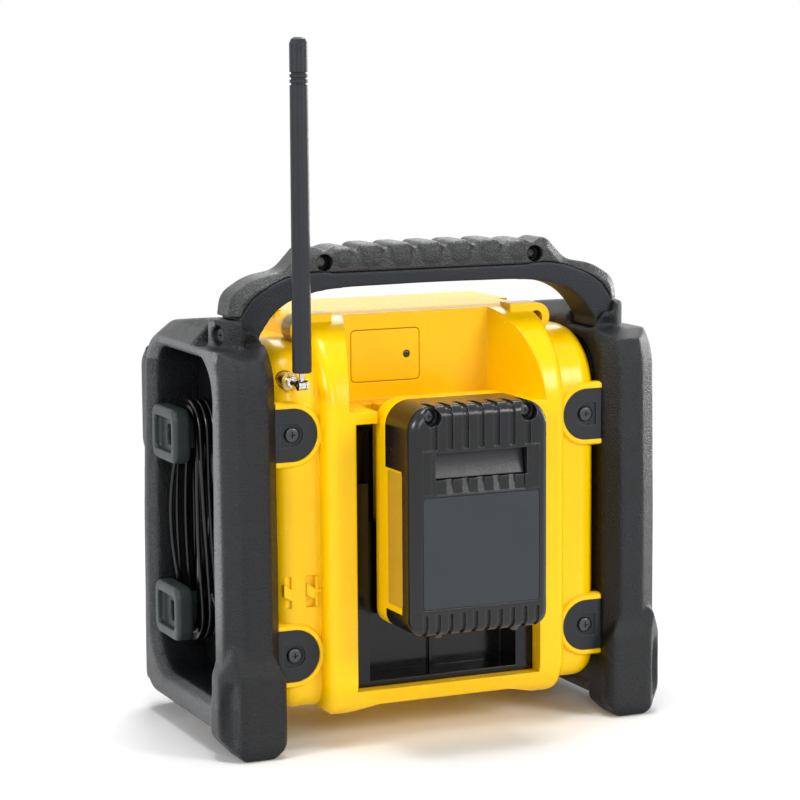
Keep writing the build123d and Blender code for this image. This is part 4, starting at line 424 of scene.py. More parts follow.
NODE_FINISH: dict[str, Finish] = {
    "rear_housing": Finish.YELLOW, "front_housing": Finish.YELLOW, "backup_cover": Finish.YELLOW,
    "pack_upper_case": Finish.YELLOW, "right_frame": Finish.FRAME, "left_frame": Finish.FRAME,
    "handle_grip": Finish.GRIP, "handle_core": Finish.CORE, "right_side_panel": Finish.PANEL,
    "left_side_panel": Finish.PANEL, "frame_lugs": Finish.LUG, "upper_hook": Finish.HOOK,
    "lower_hook": Finish.HOOK, "front_panel": Finish.FASCIA, "aux_door": Finish.FASCIA,
    "battery_bay": Finish.BAY, "terminal_block": Finish.BAY, "coin_holder": Finish.BAY,
    "speaker_baskets": Finish.BASKET, "volume_control": Finish.STEEL, "tuning_control": Finish.STEEL,
    "aux_jack": Finish.BAY, "lcd_module": Finish.DISPLAY, "pack_lower_case": Finish.PACK,
    "pack_latch": Finish.LATCH, "lug_screws": Finish.SCREW, "handle_screws": Finish.SCREW,
    "housing_screws": Finish.SCREW, "cover_screw": Finish.SCREW, "antenna_stem": Finish.CHROME,
    "antenna_knuckle": Finish.CHROME, "volume_shaft": Finish.STEEL, "tuning_shaft": Finish.STEEL,
    "antenna_socket": Finish.BRASS, "contact_blades": Finish.BRASS, "antenna_sleeve": Finish.SHEATH,
    "speaker_grilles": Finish.GRILLE, "speaker_cones": Finish.CONE, "lcd_lens": Finish.LENS,
    "main_board": Finish.BOARD, "button_board": Finish.BOARD, "transformer": Finish.STEEL,
    "coin_cell": Finish.STEEL, "pack_cells": Finish.CELL, "volume_knob": Finish.KNOB,
    "tuning_knob": Finish.KNOB, "cord_gland": Finish.LEAD, "cord_lead": Finish.LEAD,
    "cord_hank": Finish.LEAD, "cord_tail": Finish.LEAD, "mains_plug": Finish.LEAD,
}


def dress_nodes() -> None:
    """Gives every CAD node its finish."""
    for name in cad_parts:
        finish = NODE_FINISH.get(name, Finish.KEY)
        mesh = bpy.data.objects[name].data
        mesh.materials.clear()
        mesh.materials.append(finish.material())
        log.info("node %s: %s", name, finish.name)


# ---- Studio ----
@dataclass(frozen=True)
class SoftBox:
    """A square lamp: its place, the side of its square in metres and its watts."""

    name: str
    place: Point
    size: float
    power: float


@dataclass
class Studio:
    """Floor, backdrop, lamps and camera."""

    aim: Point = (0.00567, 0.0, 0.16859)
    turn_deg: float = 24.03
    rise_deg: float = 7.9
    distance: float = 1.3989
    roll_deg: float = -0.39
    focal_px: float = 2695.3
    image_px: float = 800.0
    sensor: float = 36.0
    sight_end: float = 60.0
    floor_reach: float = 9.0
    floor_colour: Colour = (0.92, 0.92, 0.92, 1.0)
    floor_rough: float = 0.9
    floor_specular: float = 0.1
    floor_cloud: float = 1.02
    floor_cloud_scale: float = 3.0
    shadow_reach: float = 0.8
    shadow_full: float = 0.45
    sky_strength: float = 0.2
    lamp_aim: Point = (0.0, 0.0, 0.13)
    lamps: tuple[SoftBox, ...] = (
        SoftBox("key", (1.6, 0.5, 0.9), 0.5, 14.0),
        SoftBox("fill", (-1.1, 1.5, 0.9), 0.6, 18.0),
        SoftBox("top", (0.1, 0.1, 1.7), 0.6, 15.0),
        SoftBox("back", (0.5, 2.0, 0.9), 0.7, 10.0),
        SoftBox("front", (-0.6, -1.2, 1.5), 0.9, 16.0),
        SoftBox("edge", (-2.0, -0.9, 0.4), 0.8, 16.0),
    )

    def camera(self) -> None:
        """Sets the camera at its viewing angle."""
        turn, rise, roll = (math.radians(a) for a in (self.turn_deg, self.rise_deg, self.roll_deg))
        back = Vector((math.sin(turn) * math.cos(rise), math.cos(turn) * math.cos(rise), math.sin(rise)))
        right = (-back).cross(Vector((0, 0, 1))).normalized()
        up = right.cross(-back)
        right, up = (right * math.cos(roll) + up * math.sin(roll),
                     up * math.cos(roll) - right * math.sin(roll))
        data = bpy.data.cameras.new("camera")
        data.sensor_width = self.sensor
        data.lens = self.focal_px * data.sensor_width / self.image_px
        data.clip_end = self.sight_end
        camera = bpy.data.objects.new("camera", data)
        bpy.context.collection.objects.link(camera)
        turned = Matrix((right, up, back)).transposed().to_4x4()
        camera.matrix_world = Matrix.Translation(Vector(self.aim) + back * self.distance) @ turned
        bpy.context.scene.camera = camera

    def lamp(self, box: SoftBox) -> None:
        """Adds one soft box that faces the radio.

        Args:
            box: its name, place, size and power.
        """
        data = bpy.data.lights.new(box.name, "AREA")
        data.shape, data.size, data.energy = "SQUARE", box.size, box.power
        lamp = bpy.data.objects.new(box.name, data)
        lamp.location = box.place
        facing = Vector(self.lamp_aim) - Vector(box.place)
        lamp.rotation_euler = facing.to_track_quat("-Z", "Y").to_euler()
        bpy.context.collection.objects.link(lamp)

    def floor(self) -> None:
        """Lays a pale floor that takes the shadow and turns white further out."""
        mesh = bmesh.new()
        bmesh.ops.create_grid(mesh, x_segments=1, y_segments=1, size=self.floor_reach)
        data = bpy.data.meshes.new("floor")
        mesh.to_mesh(data)
        mesh.free()
        piece = bpy.data.objects.new("floor", data)
        bpy.context.collection.objects.link(piece)
        g = Graph("floor_paint")
        shader = g.add("ShaderNodeBsdfPrincipled", Roughness=self.floor_rough)
        paint = g.blend(g.noise(self.floor_cloud_scale), self.floor_colour,
                        shaded(self.floor_colour, self.floor_cloud))
        g.join(paint, shader.inputs["Base Color"])
        shader.inputs["Specular IOR Level"].default_value = self.floor_specular
        reach = g.add("ShaderNodeVectorMath", operation="LENGTH")
        g.join(g.place(), reach.inputs[0])
        far = g.span(reach.outputs["Value"], self.shadow_reach * self.shadow_full, self.shadow_reach)
        white = g.add("ShaderNodeEmission", Color=(1, 1, 1, 1), Strength=1.0)
        both = g.add("ShaderNodeMixShader")
        g.join(g.product(far, g.seen()), both.inputs[0])
        g.join(shader.outputs[0], both.inputs[1])
        g.join(white.outputs[0], both.inputs[2])
        g.join(both.outputs[0], g.output.inputs["Surface"])
        data.materials.append(g.material)

    def sky(self) -> None:
        """A soft world that shows white behind and in reflections."""
        world = bpy.data.worlds.new("studio")
        world.use_nodes = True
        bpy.context.scene.world = world
        g = Graph.on(world.node_tree)
        back = world.node_tree.nodes["Background"]
        back.inputs["Color"].default_value = (1, 1, 1, 1)
        g.join(g.span(g.seen(), 0.0, 1.0, self.sky_strength, 1.0), back.inputs["Strength"])

    def build(self) -> None:
        """Sets the whole studio."""
        self.camera()
        self.floor()
        self.sky()
        for box in self.lamps:
            self.lamp(box)
        bpy.context.scene.view_settings.view_transform = "Standard"


# ---- Soft-edged rubber and moulded pieces ----
def settled(piece: bpy.types.Object) -> bpy.types.Mesh:
    """The piece's mesh with its modifiers applied.

    Args:
        piece: an object with modifiers.

    Returns:
        A new mesh.
    """
    return bpy.data.meshes.new_from_object(piece.evaluated_get(bpy.context.evaluated_depsgraph_get()))


@dataclass
class SoftSkin:
    """A moulded piece whose edges are rolled over, skinned from its node's solid."""

    name: str
    node: str
    finish: Finish
    slot: str
    voxel: float
    passes: int
    body: str = "radio"
    ease: float = 0.5

    def solid(self) -> bmesh.types.BMesh:
        """The node's solid, its loose triangles merged."""
        shape = bmesh.new()
        shape.from_mesh(bpy.data.objects[self.node].data)
        bmesh.ops.remove_doubles(shape, verts=shape.verts, dist=MERGE_REACH)
        return shape

    def copied(self) -> bpy.types.Object:
        """The object that the skin starts from."""
        return self.shown(self.name, self.solid())

    def shown(self, name: str, shape: bmesh.types.BMesh) -> bpy.types.Object:
        """Turns a bmesh into an object of the scene and frees it."""
        data = bpy.data.meshes.new(name)
        shape.to_mesh(data)
        shape.free()
        piece = bpy.data.objects.new(name, data)
        bpy.context.collection.objects.link(piece)
        return piece

    def skin(self, piece: bpy.types.Object, voxel: float, passes: int) -> None:
        """Adds an even skin to a piece and rolls its edges over.

        Args:
            piece: the object.
            voxel: size of the skin's cells.
            passes: how many times the edges are eased.
        """
        cover = piece.modifiers.new("skin", "REMESH")
        cover.mode, cover.voxel_size, cover.use_smooth_shade = "VOXEL", voxel, True
        rolled = piece.modifiers.new("rolled", "SMOOTH")
        rolled.factor, rolled.iterations = self.ease, passes

    def shape(self, piece: bpy.types.Object) -> list[bpy.types.Object]:
        """Adds the piece's modifiers, and returns the tools they use."""
        self.skin(piece, self.voxel, self.passes)
        return []

    def mark(self, mesh: bpy.types.Mesh) -> None:
        """Leaves marks on the finished mesh for its finish to read; a plain skin leaves none."""

    def build(self) -> bpy.types.Object:
        """Makes the skin and lets it stand for its node.

        Returns:
            The piece.
        """
        piece = self.copied()
        tools = self.shape(piece)
        finished = settled(piece)
        piece.modifiers.clear()
        piece.data = finished
        for tool in tools:
            bpy.data.objects.remove(tool)
        self.mark(finished)
        finished.materials.clear()
        finished.materials.append(self.finish.material())
        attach(piece, self.body)
        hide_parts(self.node)
        log.info("piece %s: %d faces", self.name, len(finished.polygons))
        return piece


@dataclass(frozen=True)
class Block:
    """A leaning block that is cut from a frame, made on its own lower face.

    Its size and the place of its lower face's middle are in millimetres on the +X side. It leans
    by some degrees about an axis, and its top spreads along Y by its flare.
    """

    size: Point
    place: Point
    lean: float
    about: str
    flare: float = 0.0


@dataclass
class RollFrame(SoftSkin):
    """A rubber side frame: rolled edges, a dip round the handle's ear, and a painted sheen on its rim.

    Its own sizes are in millimetres on the +X side, and side is -1 for the mirror image.
    """

    side: int = 1
    first_passes: int = 4
    bevelled_top: Block = Block((60, 220, 20), (115.0, -20, 209.6), 43, "Y")
    ear_dip: Block = Block((26.2, 30, 20), (116.9, 18, 203.4), 0, "Z", flare=5)
    rear_slope: Block = Block((46, 30, 20), (113, 43.2, 199.6), -20, "X")
    ear_plan: tuple[tuple[float, float], ...] = ((103.2, 9.1), (115.0, 9.1), (109.4, 28.9), (103.2, 32.4))
    ear_z: tuple[float, float] = (196.0, 217.8)
    ear_round: float = 1.3
    bore: Point = (112.5, 18.0, 209.6)
    bore_turn: float = 16.0
    bore_radius: float = 4.6
    bore_depth: float = 3.4
    foot_mid: Point = (119.5, 47.75, 25.0)
    foot_shift: Point = (2.1, 2.3, 0.0)
    foot_size: Point = (5.2, 6.4, 19.0)
    opening: tuple[tuple[float, float], ...] = (
        (29.0, 26.3), (29.0, 107.8), (30.5, 197.7), (-60.5, 197.7), (-65.0, 107.8), (-65.0, 26.3))
    # where the rim's painted sheen lies, and how strongly each part of the frame shows it
    rim_x: float = 113.0
    flare_x: float = 116.0
    flare_reach: float = 6.0
    least_out: float = 0.2
    rim_start: float = 0.55
    rim_run: float = 0.4
    rim_power: float = 1.5
    flare_run: float = 0.3
    sole_z: float = 26.0
    sole_sheen: float = 0.75
    top_z: float = 190.0
    top_sheen: float = 0.8
    foot_y: float = 26.0
    foot_z: float = 76.0
    foot_fade: float = 24.0
    foot_sheen: float = 0.3
    front_y: float = -50.0
    front_fade: float = 80.0
    front_sheen: float = 0.25

    def tool(self, shape: bmesh.types.BMesh) -> bpy.types.Object:
        """Puts a tool made in millimetres on the +X side where it belongs."""
        bmesh.ops.scale(shape, vec=(self.side * MM, MM, MM), verts=shape.verts)
        bmesh.ops.recalc_face_normals(shape, faces=shape.faces)
        return self.shown(f"{self.name}_tool", shape)

    def block(self, cut: Block) -> bpy.types.Object:
        """Makes a leaning block.

        Args:
            cut: its size, place, lean and flare.

        Returns:
            The tool.
        """
        shape = bmesh.new()
        made = bmesh.ops.create_cube(shape, size=1.0)["verts"]
        bmesh.ops.scale(shape, vec=cut.size, verts=made)
        bmesh.ops.translate(shape, vec=(0, 0, cut.size[2] / 2), verts=made)
        for vert in made:
            if vert.co.z > 0:
                vert.co.y += math.copysign(cut.flare, vert.co.y)
        lean = Matrix.Rotation(math.radians(cut.lean), 3, cut.about)
        bmesh.ops.rotate(shape, cent=(0, 0, 0), matrix=lean, verts=made)
        bmesh.ops.translate(shape, vec=cut.place, verts=made)
        return self.tool(shape)

    def ear(self) -> bpy.types.Object:
        """The block that holds the handle's end screw."""
        shape = bmesh.new()
        low, high = self.ear_z
        foot = shape.faces.new([shape.verts.new((x, y, low)) for x, y in self.ear_plan])
        raised = bmesh.ops.extrude_face_region(shape, geom=[foot])["geom"]
        lifted = [v for v in raised if isinstance(v, bmesh.types.BMVert)]
        bmesh.ops.translate(shape, vec=(0, 0, high - low), verts=lifted)
        bmesh.ops.bevel(shape, geom=list(shape.edges), offset=self.ear_round, segments=3, profile=0.5,
                        affect="EDGES", material=-1)
        return self.tool(shape)

    def small_cuts(self) -> bpy.types.Object:
        """The ear's screw bore and the foot's crescent recess."""
        shape = bmesh.new()
        bore = bmesh.ops.create_cone(shape, cap_ends=True, segments=32, radius1=self.bore_radius,
                                     radius2=self.bore_radius, depth=2 * self.bore_depth)["verts"]
        sideways = Matrix.Rotation(math.radians(90), 3, "Y")
        turn = Matrix.Rotation(math.radians(self.bore_turn), 3, "Z") @ sideways
        bmesh.ops.rotate(shape, cent=(0, 0, 0), matrix=turn, verts=bore)
        bmesh.ops.translate(shape, vec=self.bore, verts=bore)
        lens = bmesh.ops.create_uvsphere(shape, u_segments=24, v_segments=16, radius=1.0)["verts"]
        bmesh.ops.scale(shape, vec=self.foot_size, verts=lens)
        bmesh.ops.translate(shape, vec=Vector(self.foot_mid) + Vector(self.foot_shift), verts=lens)
        return self.tool(shape)

    def shape(self, piece: bpy.types.Object) -> list[bpy.types.Object]:
        """Adds the frame's modifiers, and returns the tools they use."""
        self.skin(piece, self.voxel, self.first_passes)
        steps = (
            ("DIFFERENCE", self.block(self.bevelled_top)),
            ("DIFFERENCE", self.block(self.ear_dip)),
            ("DIFFERENCE", self.block(self.rear_slope)),
            ("UNION", self.ear()),
            ("DIFFERENCE", self.small_cuts()),
        )
        for way, tool in steps:
            cut = piece.modifiers.new("cut", "BOOLEAN")
            cut.operation, cut.object = way, tool
        self.skin(piece, self.voxel, self.passes)
        return [tool for _, tool in steps]

    def off_opening(self, y: float, z: float) -> float:
        """How far a point is from the opening's edge line, in metres."""
        nearest = 1.0
        corners = [Vector((a * MM, b * MM)) for a, b in self.opening]
        spot = Vector((y, z))
        for first, second in zip(corners, corners[1:] + corners[:1]):
            run = second - first
            share = ramp((spot - first).dot(run), 0.0, run.length_squared)
            nearest = min(nearest, (first + run * share - spot).length)
        return nearest

    def sheen_share(self, y: float, z: float) -> float:
        """How much of the rim's painted sheen a place shows, by its part of the frame."""
        foot = ramp(z, self.foot_z * MM, -self.foot_fade * MM) if y > self.foot_y * MM else 0.0
        rearward = ramp(y, self.front_y * MM, self.front_fade * MM)
        along = self.front_sheen + (1 - self.front_sheen) * rearward
        bar = along * (1.0 - foot) + self.foot_sheen * foot
        if z > self.top_z * MM:
            bar = max(bar, self.top_sheen)
        return bar * (self.sole_sheen if z < self.sole_z * MM else 1.0)

    def mark(self, mesh: bpy.types.Mesh) -> None:
        """Marks the faces that look outwards, and the opening's flare, for the rim's painted sheen."""
        # painted sheen: the more a face looks out sideways, the lighter it is painted
        rim = mesh.attributes.new(PAINTED_SHEEN_RIM, "FLOAT", "POINT")
        for vert, mark in zip(mesh.vertices, rim.data):
            out = vert.normal.x * self.side
            x, y, z = abs(vert.co.x), vert.co.y, vert.co.z
            if x < self.rim_x * MM or out < self.least_out:
                continue
            share = ramp(out, self.rim_start, self.rim_run) ** self.rim_power
            if x > self.flare_x * MM and self.off_opening(y, z) < self.flare_reach * MM:
                share = max(share, ramp(out, self.least_out, self.flare_run))
            mark.value = share * self.sheen_share(y, z)


@dataclass
class FingerGrip(SoftSkin):
    """The handle's rubber grip, its finger bumps rounded out on both faces.

    Its own sizes are in millimetres.
    """

    lobe_count: int = 5
    pitch: float = 16.5
    lobe_share: float = 0.46
    lobe_y: tuple[float, float] = (0.9, 29.1)
    lobe_z: tuple[float, float] = (239.5, 252.9)
    lobe_round: float = 4.6
    end_x: tuple[float, float] = (42.3, 55.0)
    end_top: float = 251.6

    def lobe(self, start: float, stop: float, top: float) -> bpy.types.Mesh:
        """A rounded block across the grip.

        Args:
            start: where it begins along X.
            stop: where it ends along X.
            top: the height of its top.

        Returns:
            A mesh in metres.
        """
        lobe = bmesh.new()
        made = bmesh.ops.create_cube(lobe, size=1.0)["verts"]
        size = Vector((stop - start, self.lobe_y[1] - self.lobe_y[0], top - self.lobe_z[0]))
        bmesh.ops.scale(lobe, vec=size, verts=made)
        bmesh.ops.bevel(lobe, geom=list(lobe.edges), offset=self.lobe_round, segments=4, profile=0.5,
                        affect="EDGES", material=-1)
        middle = Vector(((start + stop) / 2, sum(self.lobe_y) / 2, (top + self.lobe_z[0]) / 2))
        bmesh.ops.translate(lobe, vec=middle, verts=lobe.verts)
        bmesh.ops.scale(lobe, vec=(MM, MM, MM), verts=lobe.verts)
        data = bpy.data.meshes.new("lobe")
        lobe.to_mesh(data)
        lobe.free()
        return data

    def copied(self) -> bpy.types.Object:
        """The node's solid with a rounded block laid into each bump."""
        shape = self.solid()
        half = self.pitch * self.lobe_share
        middles = [self.pitch * (index - self.lobe_count // 2) for index in range(self.lobe_count)]
        near, far = self.end_x
        spans = [(x - half, x + half, self.lobe_z[1]) for x in middles]
        spans += [(near, far, self.end_top), (-far, -near, self.end_top)]
        for start, stop, top in spans:
            data = self.lobe(start, stop, top)
            shape.from_mesh(data)
            bpy.data.meshes.remove(data)
        return self.shown(self.name, shape)


def skins() -> list[SoftSkin]:
    """Every piece whose edges are rolled over."""
    return [
        RollFrame("right_roll_frame", "right_frame", Finish.FRAME, "frame_rubber", 1.0 * MM, 4, side=1),
        RollFrame("left_roll_frame", "left_frame", Finish.FRAME, "frame_rubber", 1.0 * MM, 4, side=-1),
        FingerGrip("finger_grip", "handle_grip", Finish.GRIP, "grip_rubber", 0.7 * MM, 2),
        SoftSkin("handle_arch", "handle_core", Finish.CORE, "dark_plastic", 0.9 * MM, 3),
        SoftSkin("upper_lead_hook", "upper_hook", Finish.HOOK, "dark_plastic", 0.6 * MM, 6),
        SoftSkin("lower_lead_hook", "lower_hook", Finish.HOOK, "dark_plastic", 0.6 * MM, 6),
    ]


# ---- Screws ----
@dataclass(frozen=True)
class Head:
    """One screw: the middle of its head's seat, the way it faces and its sizes."""

    seat: Point
    way: Point
    radius: float
    height: float
    shank: float = 0.0
    shank_radius: float = 1.5 * MM

    def frame(self) -> Matrix:
        """The placing of a screw made along +Z with its seat at the origin."""
        turn = Vector(self.way).to_track_quat("Z", "Y").to_matrix().to_4x4()
        return Matrix.Translation(Vector(self.seat)) @ turn


@dataclass
class CrossScrews:
    """A set of pan-head screws with cross recesses.

    The shares say how the crown's taper and rolled edge and the recess's sizes follow the head.
    """

    name: str
    heads: tuple[Head, ...]
    stands_for: str = ""
    body: str = "radio"
    taper: float = 0.96
    crown_share: float = 0.9
    rolled_share: float = 0.42
    web_share: float = 0.2
    arm_share: float = 0.38
    depth_share: float = 0.62
    deepest: float = 1.2 * MM
    tip_share: float = 0.6
    stem_lap: float = 0.01 * MM
    sharp_deg: float = 38.0

    def steel(self) -> bpy.types.Mesh:
        """The heads and shanks, before their recesses are cut."""
        shape = bmesh.new()
        for head in self.heads:
            made = bmesh.ops.create_cone(shape, cap_ends=True, segments=36, radius1=head.radius,
                                         radius2=head.radius * self.taper, depth=head.height)["verts"]
            bmesh.ops.translate(shape, verts=made, vec=(0, 0, head.height / 2))
            crown = [v for v in made if v.co.z > head.height * self.crown_share]
            rim = {e for v in crown for e in v.link_edges if e.other_vert(v) in crown}
            rolled = bmesh.ops.bevel(shape, geom=list(rim), offset=head.height * self.rolled_share,
                                     segments=3, profile=0.5, affect="EDGES", material=-1)["verts"]
            made = list({v for v in made if v.is_valid} | set(rolled))
            if head.shank:
                stem = bmesh.ops.create_cone(shape, cap_ends=True, segments=20, radius1=head.shank_radius,
                                             radius2=head.shank_radius, depth=head.shank)["verts"]
                bmesh.ops.translate(shape, verts=stem, vec=(0, 0, self.stem_lap - head.shank / 2))
                made += stem
            bmesh.ops.transform(shape, matrix=head.frame(), verts=made)
        data = bpy.data.meshes.new(self.name)
        shape.to_mesh(data)
        shape.free()
        return data

    def recesses(self) -> bpy.types.Mesh:
        """The tapered cross-shaped tools that cut the recesses."""
        shape = bmesh.new()
        for head in self.heads:
            web, arm = head.radius * self.web_share, head.radius * self.arm_share
            deep = min(head.height * self.depth_share, self.deepest)
            core = bmesh.ops.create_cube(shape, size=1.0)["verts"]
            bmesh.ops.scale(shape, vec=(web, web, deep * 2), verts=core)
            sides = [f for f in {f for v in core for f in v.link_faces} if abs(f.normal.z) < 0.5]
            for side in sides:
                side.normal_update()
            arms = bmesh.ops.extrude_discrete_faces(shape, faces=sides)["faces"]
            made = set(core)
            for side in arms:
                side.normal_update()
                bmesh.ops.translate(shape, verts=list(side.verts), vec=side.normal * arm)
                made |= set(side.verts)
            for vert in made:
                if vert.co.z < 0:
                    vert.co.x, vert.co.y = vert.co.x * self.tip_share, vert.co.y * self.tip_share
            bmesh.ops.translate(shape, verts=list(made), vec=(0, 0, head.height))
            bmesh.ops.transform(shape, matrix=head.frame(), verts=list(made))
        bmesh.ops.recalc_face_normals(shape, faces=shape.faces)
        data = bpy.data.meshes.new(f"{self.name}_recess")
        shape.to_mesh(data)
        shape.free()
        return data

    def build(self) -> bpy.types.Object:
        """Makes the screws.

        Returns:
            The piece.
        """
        piece = bpy.data.objects.new(self.name, self.steel())
        tool = bpy.data.objects.new(f"{self.name}_tool", self.recesses())
        for item in (piece, tool):
            bpy.context.collection.objects.link(item)
        cut = piece.modifiers.new("recess", "BOOLEAN")
        cut.operation, cut.object = "DIFFERENCE", tool
        finished = settled(piece)
        piece.modifiers.clear()
        piece.data = finished
        bpy.data.objects.remove(tool)
        for face in finished.polygons:
            face.use_smooth = True
        finished.set_sharp_from_angle(angle=math.radians(self.sharp_deg))
        finished.materials.clear()
        finished.materials.append(Finish.SCREW.material())
        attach(piece, self.body)
        if self.stands_for:
            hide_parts(self.stands_for)
        log.info("piece %s: %d screws", self.name, len(self.heads))
        return piece


def fastenings() -> list[CrossScrews]:
    """Every set of screws that shows."""
    lugs = [Head(in_metres(side * 82, 38.5, z), BACKWARDS, 3.8 * MM, 1.8 * MM, 1.2 * MM, 1.6 * MM)
            for side in SIDES for z in (160.7, 49.0)]
    handle_ends = [Head(in_metres(side * 108.6, 16.9, 209.6), (side * 0.961, 0.276, 0.0), 4.0 * MM, 2.0 * MM,
                        10 * MM) for side in SIDES]
    ears = [Head(in_metres(side * 65.5, 7, 210), BACKWARDS, 3.2 * MM, 3.0 * MM) for side in SIDES]
    hatch = [Head(in_metres(5.4, 6, 193.7), BACKWARDS, 1.85 * MM, 1.7 * MM, 5 * MM, 1.1 * MM)]
    pack_top = [Head(in_metres(side * 26.3, 78.5, 171.5), BACKWARDS, 3.1 * MM, 2.2 * MM) for side in SIDES]
    pack_base = [Head(in_metres(side * 21, 78.5, 63.4), DOWNWARDS, 2.3 * MM, 3.2 * MM) for side in SIDES]
    return [
        CrossScrews("frame_lug_screws", tuple(lugs), "lug_screws"),
        CrossScrews("handle_end_screws", tuple(handle_ends), "handle_screws"),
        CrossScrews("ear_screws", tuple(ears), "housing_screws"),
        CrossScrews("hatch_screw", tuple(hatch), "cover_screw"),
        CrossScrews("pack_top_screws", tuple(pack_top), body="pack"),
        CrossScrews("pack_base_screws", tuple(pack_base), body="pack"),
    ]


# ---- Bare plates on the pack ----
@dataclass
class LabelPlate:
    """A bare plate on the pack, made flat and turned onto its face."""

    name: str
    finish: Finish
    half_width: float
    half_height: float
    placing: Matrix
    thick: float = 0.3 * MM
    corner: float = 1.4 * MM

    def build(self) -> bpy.types.Object:
        """Makes the plate.

        Returns:
            The piece.
        """
        shape = bmesh.new()
        bmesh.ops.create_grid(shape, x_segments=1, y_segments=1, size=1.0)
        bmesh.ops.scale(shape, vec=(self.half_width, self.half_height, 1), verts=shape.verts)
        bmesh.ops.bevel(shape, geom=list(shape.verts), offset=self.corner, segments=5, profile=0.5,
                        affect="VERTICES", material=-1)
        raised = bmesh.ops.extrude_face_region(shape, geom=list(shape.faces))["geom"]
        lifted = [v for v in raised if isinstance(v, bmesh.types.BMVert)]
        bmesh.ops.translate(shape, verts=lifted, vec=(0, 0, self.thick))
        bmesh.ops.recalc_face_normals(shape, faces=shape.faces)
        bmesh.ops.transform(shape, verts=shape.verts, matrix=self.placing)
        data = bpy.data.meshes.new(self.name)
        shape.to_mesh(data)
        shape.free()
        data.materials.append(self.finish.material())
        piece = bpy.data.objects.new(self.name, data)
        bpy.context.collection.objects.link(piece)
        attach(piece, "pack")
        log.info("piece %s", self.name)
        return piece


def plates() -> list[LabelPlate]:
    """The plate in the pack's recess and one on each of its sides."""
    upright = Matrix.Rotation(math.radians(-90), 4, "X")
    recess = Matrix.Translation(in_metres(0, 85.19, 104))
    made = [LabelPlate("pack_label", Finish.LABEL, 31.7 * MM, 27.7 * MM, recess @ upright)]
    for side, name in zip(SIDES, ("pack_side_label_right", "pack_side_label_left")):
        face = Matrix.Translation(in_metres(side * 37.95, 65.9, 109.3))
        turned = Matrix.Rotation(math.radians(-side * 90), 4, "Z")
        made.append(LabelPlate(name, Finish.BADGE, 8.3 * MM, 33.8 * MM, face @ turned @ upright))
    return made


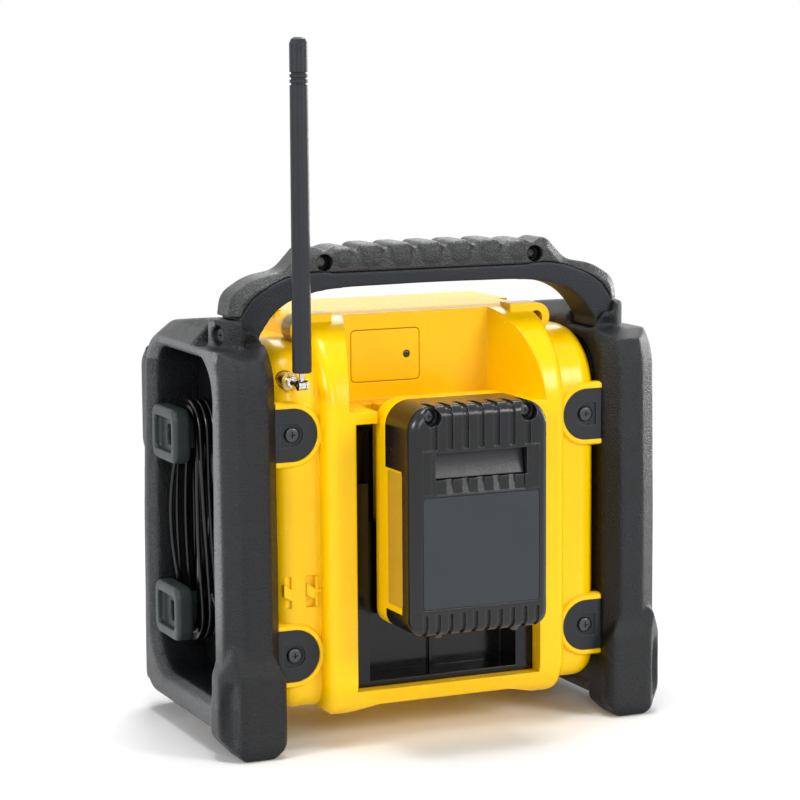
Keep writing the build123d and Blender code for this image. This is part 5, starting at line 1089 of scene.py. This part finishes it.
# ---- Lead on the side hooks ----
@dataclass
class WoundLead:
    """The flat mains lead, wound loosely round the two hooks.

    row_x, the bows, first_bend, last_turn_end and free_end are in millimetres, and turn_tilt is in
    degrees.
    """

    hook_y: float = -42.4 * MM
    top_z: float = 153.0 * MM
    low_z: float = 60.0 * MM
    width: float = 4.6 * MM
    thick: float = 2.3 * MM
    first_radius: float = 12.6 * MM
    layer: float = 3.2 * MM
    row_x: tuple[float, ...] = (98.6, 103.0, 107.2, 106.6, 102.6, 98.8)
    front_bow: tuple[tuple[float, float], ...] = (
        (0, 0), (2.0, -1.5), (4.6, -3.4), (3.0, 0.6), (1.5, 1.0), (1.0, 0.5))
    rear_bow: tuple[tuple[float, float], ...] = (
        (0, 0), (1.0, 1.5), (0.8, 2.4), (1.0, 1.0), (0.6, 2.0), (0, 0))
    turn_tilt: tuple[float, ...] = (0, 14, -30, 24, -50, 10)
    exit: Point = (99.2 * MM, -12.0 * MM, 40.0 * MM)
    first_bend: Point = (99.2, -22.5, 40.0)
    last_turn_end: Point = (101.5, -31.5, 76.0)
    free_end: tuple[Point, ...] = (
        (102.4, -19.0, 61.5), (101.9, -2.5, 59.6), (101.3, 8.0, 65.0), (101.0, 14.0, 74.0),
        (101.0, 14.0, 86.0))
    layer_turns: int = 3
    arc_steps: int = 6
    # a curve of this order runs this much inside its control points on an arc
    arc_pull: float = 0.985

    def arc(self, x: float, z: float, wide: float, start: float) -> list[ControlPoint]:
        """Half a turn round a hook.

        Args:
            x: how far out it lies.
            z: the hook's height.
            wide: its radius.
            start: the angle it starts from, in degrees.

        Returns:
            Its control points.
        """
        angles = [math.radians(start - 180 * step / self.arc_steps) for step in range(self.arc_steps + 1)]
        return [((x, self.hook_y + wide * math.cos(a), z + wide * math.sin(a)), 0.0) for a in angles]

    def turn(self, index: int) -> list[ControlPoint]:
        """The control points of one turn, each with its twist.

        Args:
            index: which turn, from 0.

        Returns:
            Its points: under the lower hook, up the front, over the top hook and down the rear.
        """
        wide = (self.first_radius + (index // self.layer_turns) * self.layer) / self.arc_pull
        x, x_next = (self.row_x[min(i, len(self.row_x) - 1)] * MM for i in (index, index + 1))
        front, rear = self.front_bow[index], self.rear_bow[index]
        tilt = math.radians(self.turn_tilt[index])
        points = self.arc(x, self.low_z, wide, 0.0)
        for z, share in ((self.low_z + 30 * MM, 0.9), (self.top_z - 32 * MM, 1.0)):
            points.append(((x + front[0] * MM * share, self.hook_y - wide + front[1] * MM * share, z), tilt))
        points += self.arc(x, self.top_z, wide, 180.0)
        for z, share in ((self.top_z - 30 * MM, 0.3), (self.low_z + 30 * MM, 0.7)):
            points.append(((x * (1 - share) + x_next * share + rear[0] * MM,
                            self.hook_y + wide + rear[1] * MM, z), -tilt))
        return points

    def route(self) -> list[ControlPoint]:
        """All control points with their twists, from the gland to the plug."""
        points: list[ControlPoint] = [(self.exit, 0.0), (in_metres(*self.first_bend), 0.0)]
        for index in range(len(self.row_x)):
            run = self.turn(index)
            points += run[2:] if index == 0 else run
        points[-1] = (in_metres(*self.last_turn_end), 0.0)
        return points + [(in_metres(*place), 0.0) for place in self.free_end]

    def build(self) -> bpy.types.Object:
        """Makes the lead as one open spline.

        Returns:
            The curve object.
        """
        data = bpy.data.curves.new("mains_lead", "CURVE")
        data.dimensions = "3D"
        data.bevel_depth = self.thick / 2
        data.extrude = (self.width - self.thick) / 2
        data.bevel_resolution = 3
        data.resolution_u = 5
        spline = data.splines.new("NURBS")
        route = self.route()
        spline.points.add(len(route) - 1)
        for point, (place, tilt) in zip(spline.points, route):
            point.co = (*place, 1.0)
            point.tilt = tilt
        spline.order_u = 3
        spline.use_endpoint_u = True
        lead = bpy.data.objects.new("mains_lead", data)
        bpy.context.collection.objects.link(lead)
        lead.data.materials.append(Finish.LEAD.material())
        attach(lead, "radio")
        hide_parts("cord_lead", "cord_hank", "cord_tail")
        return lead


def main() -> None:
    """Builds the studio and dresses every piece of the radio."""
    logging.basicConfig(level=logging.INFO, format="%(name)s: %(message)s")
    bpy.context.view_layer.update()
    Studio().build()
    WoundLead().build()
    dress_nodes()
    for piece in (*skins(), *fastenings(), *plates()):
        piece.build()


if __name__ == "__main__":
    main()
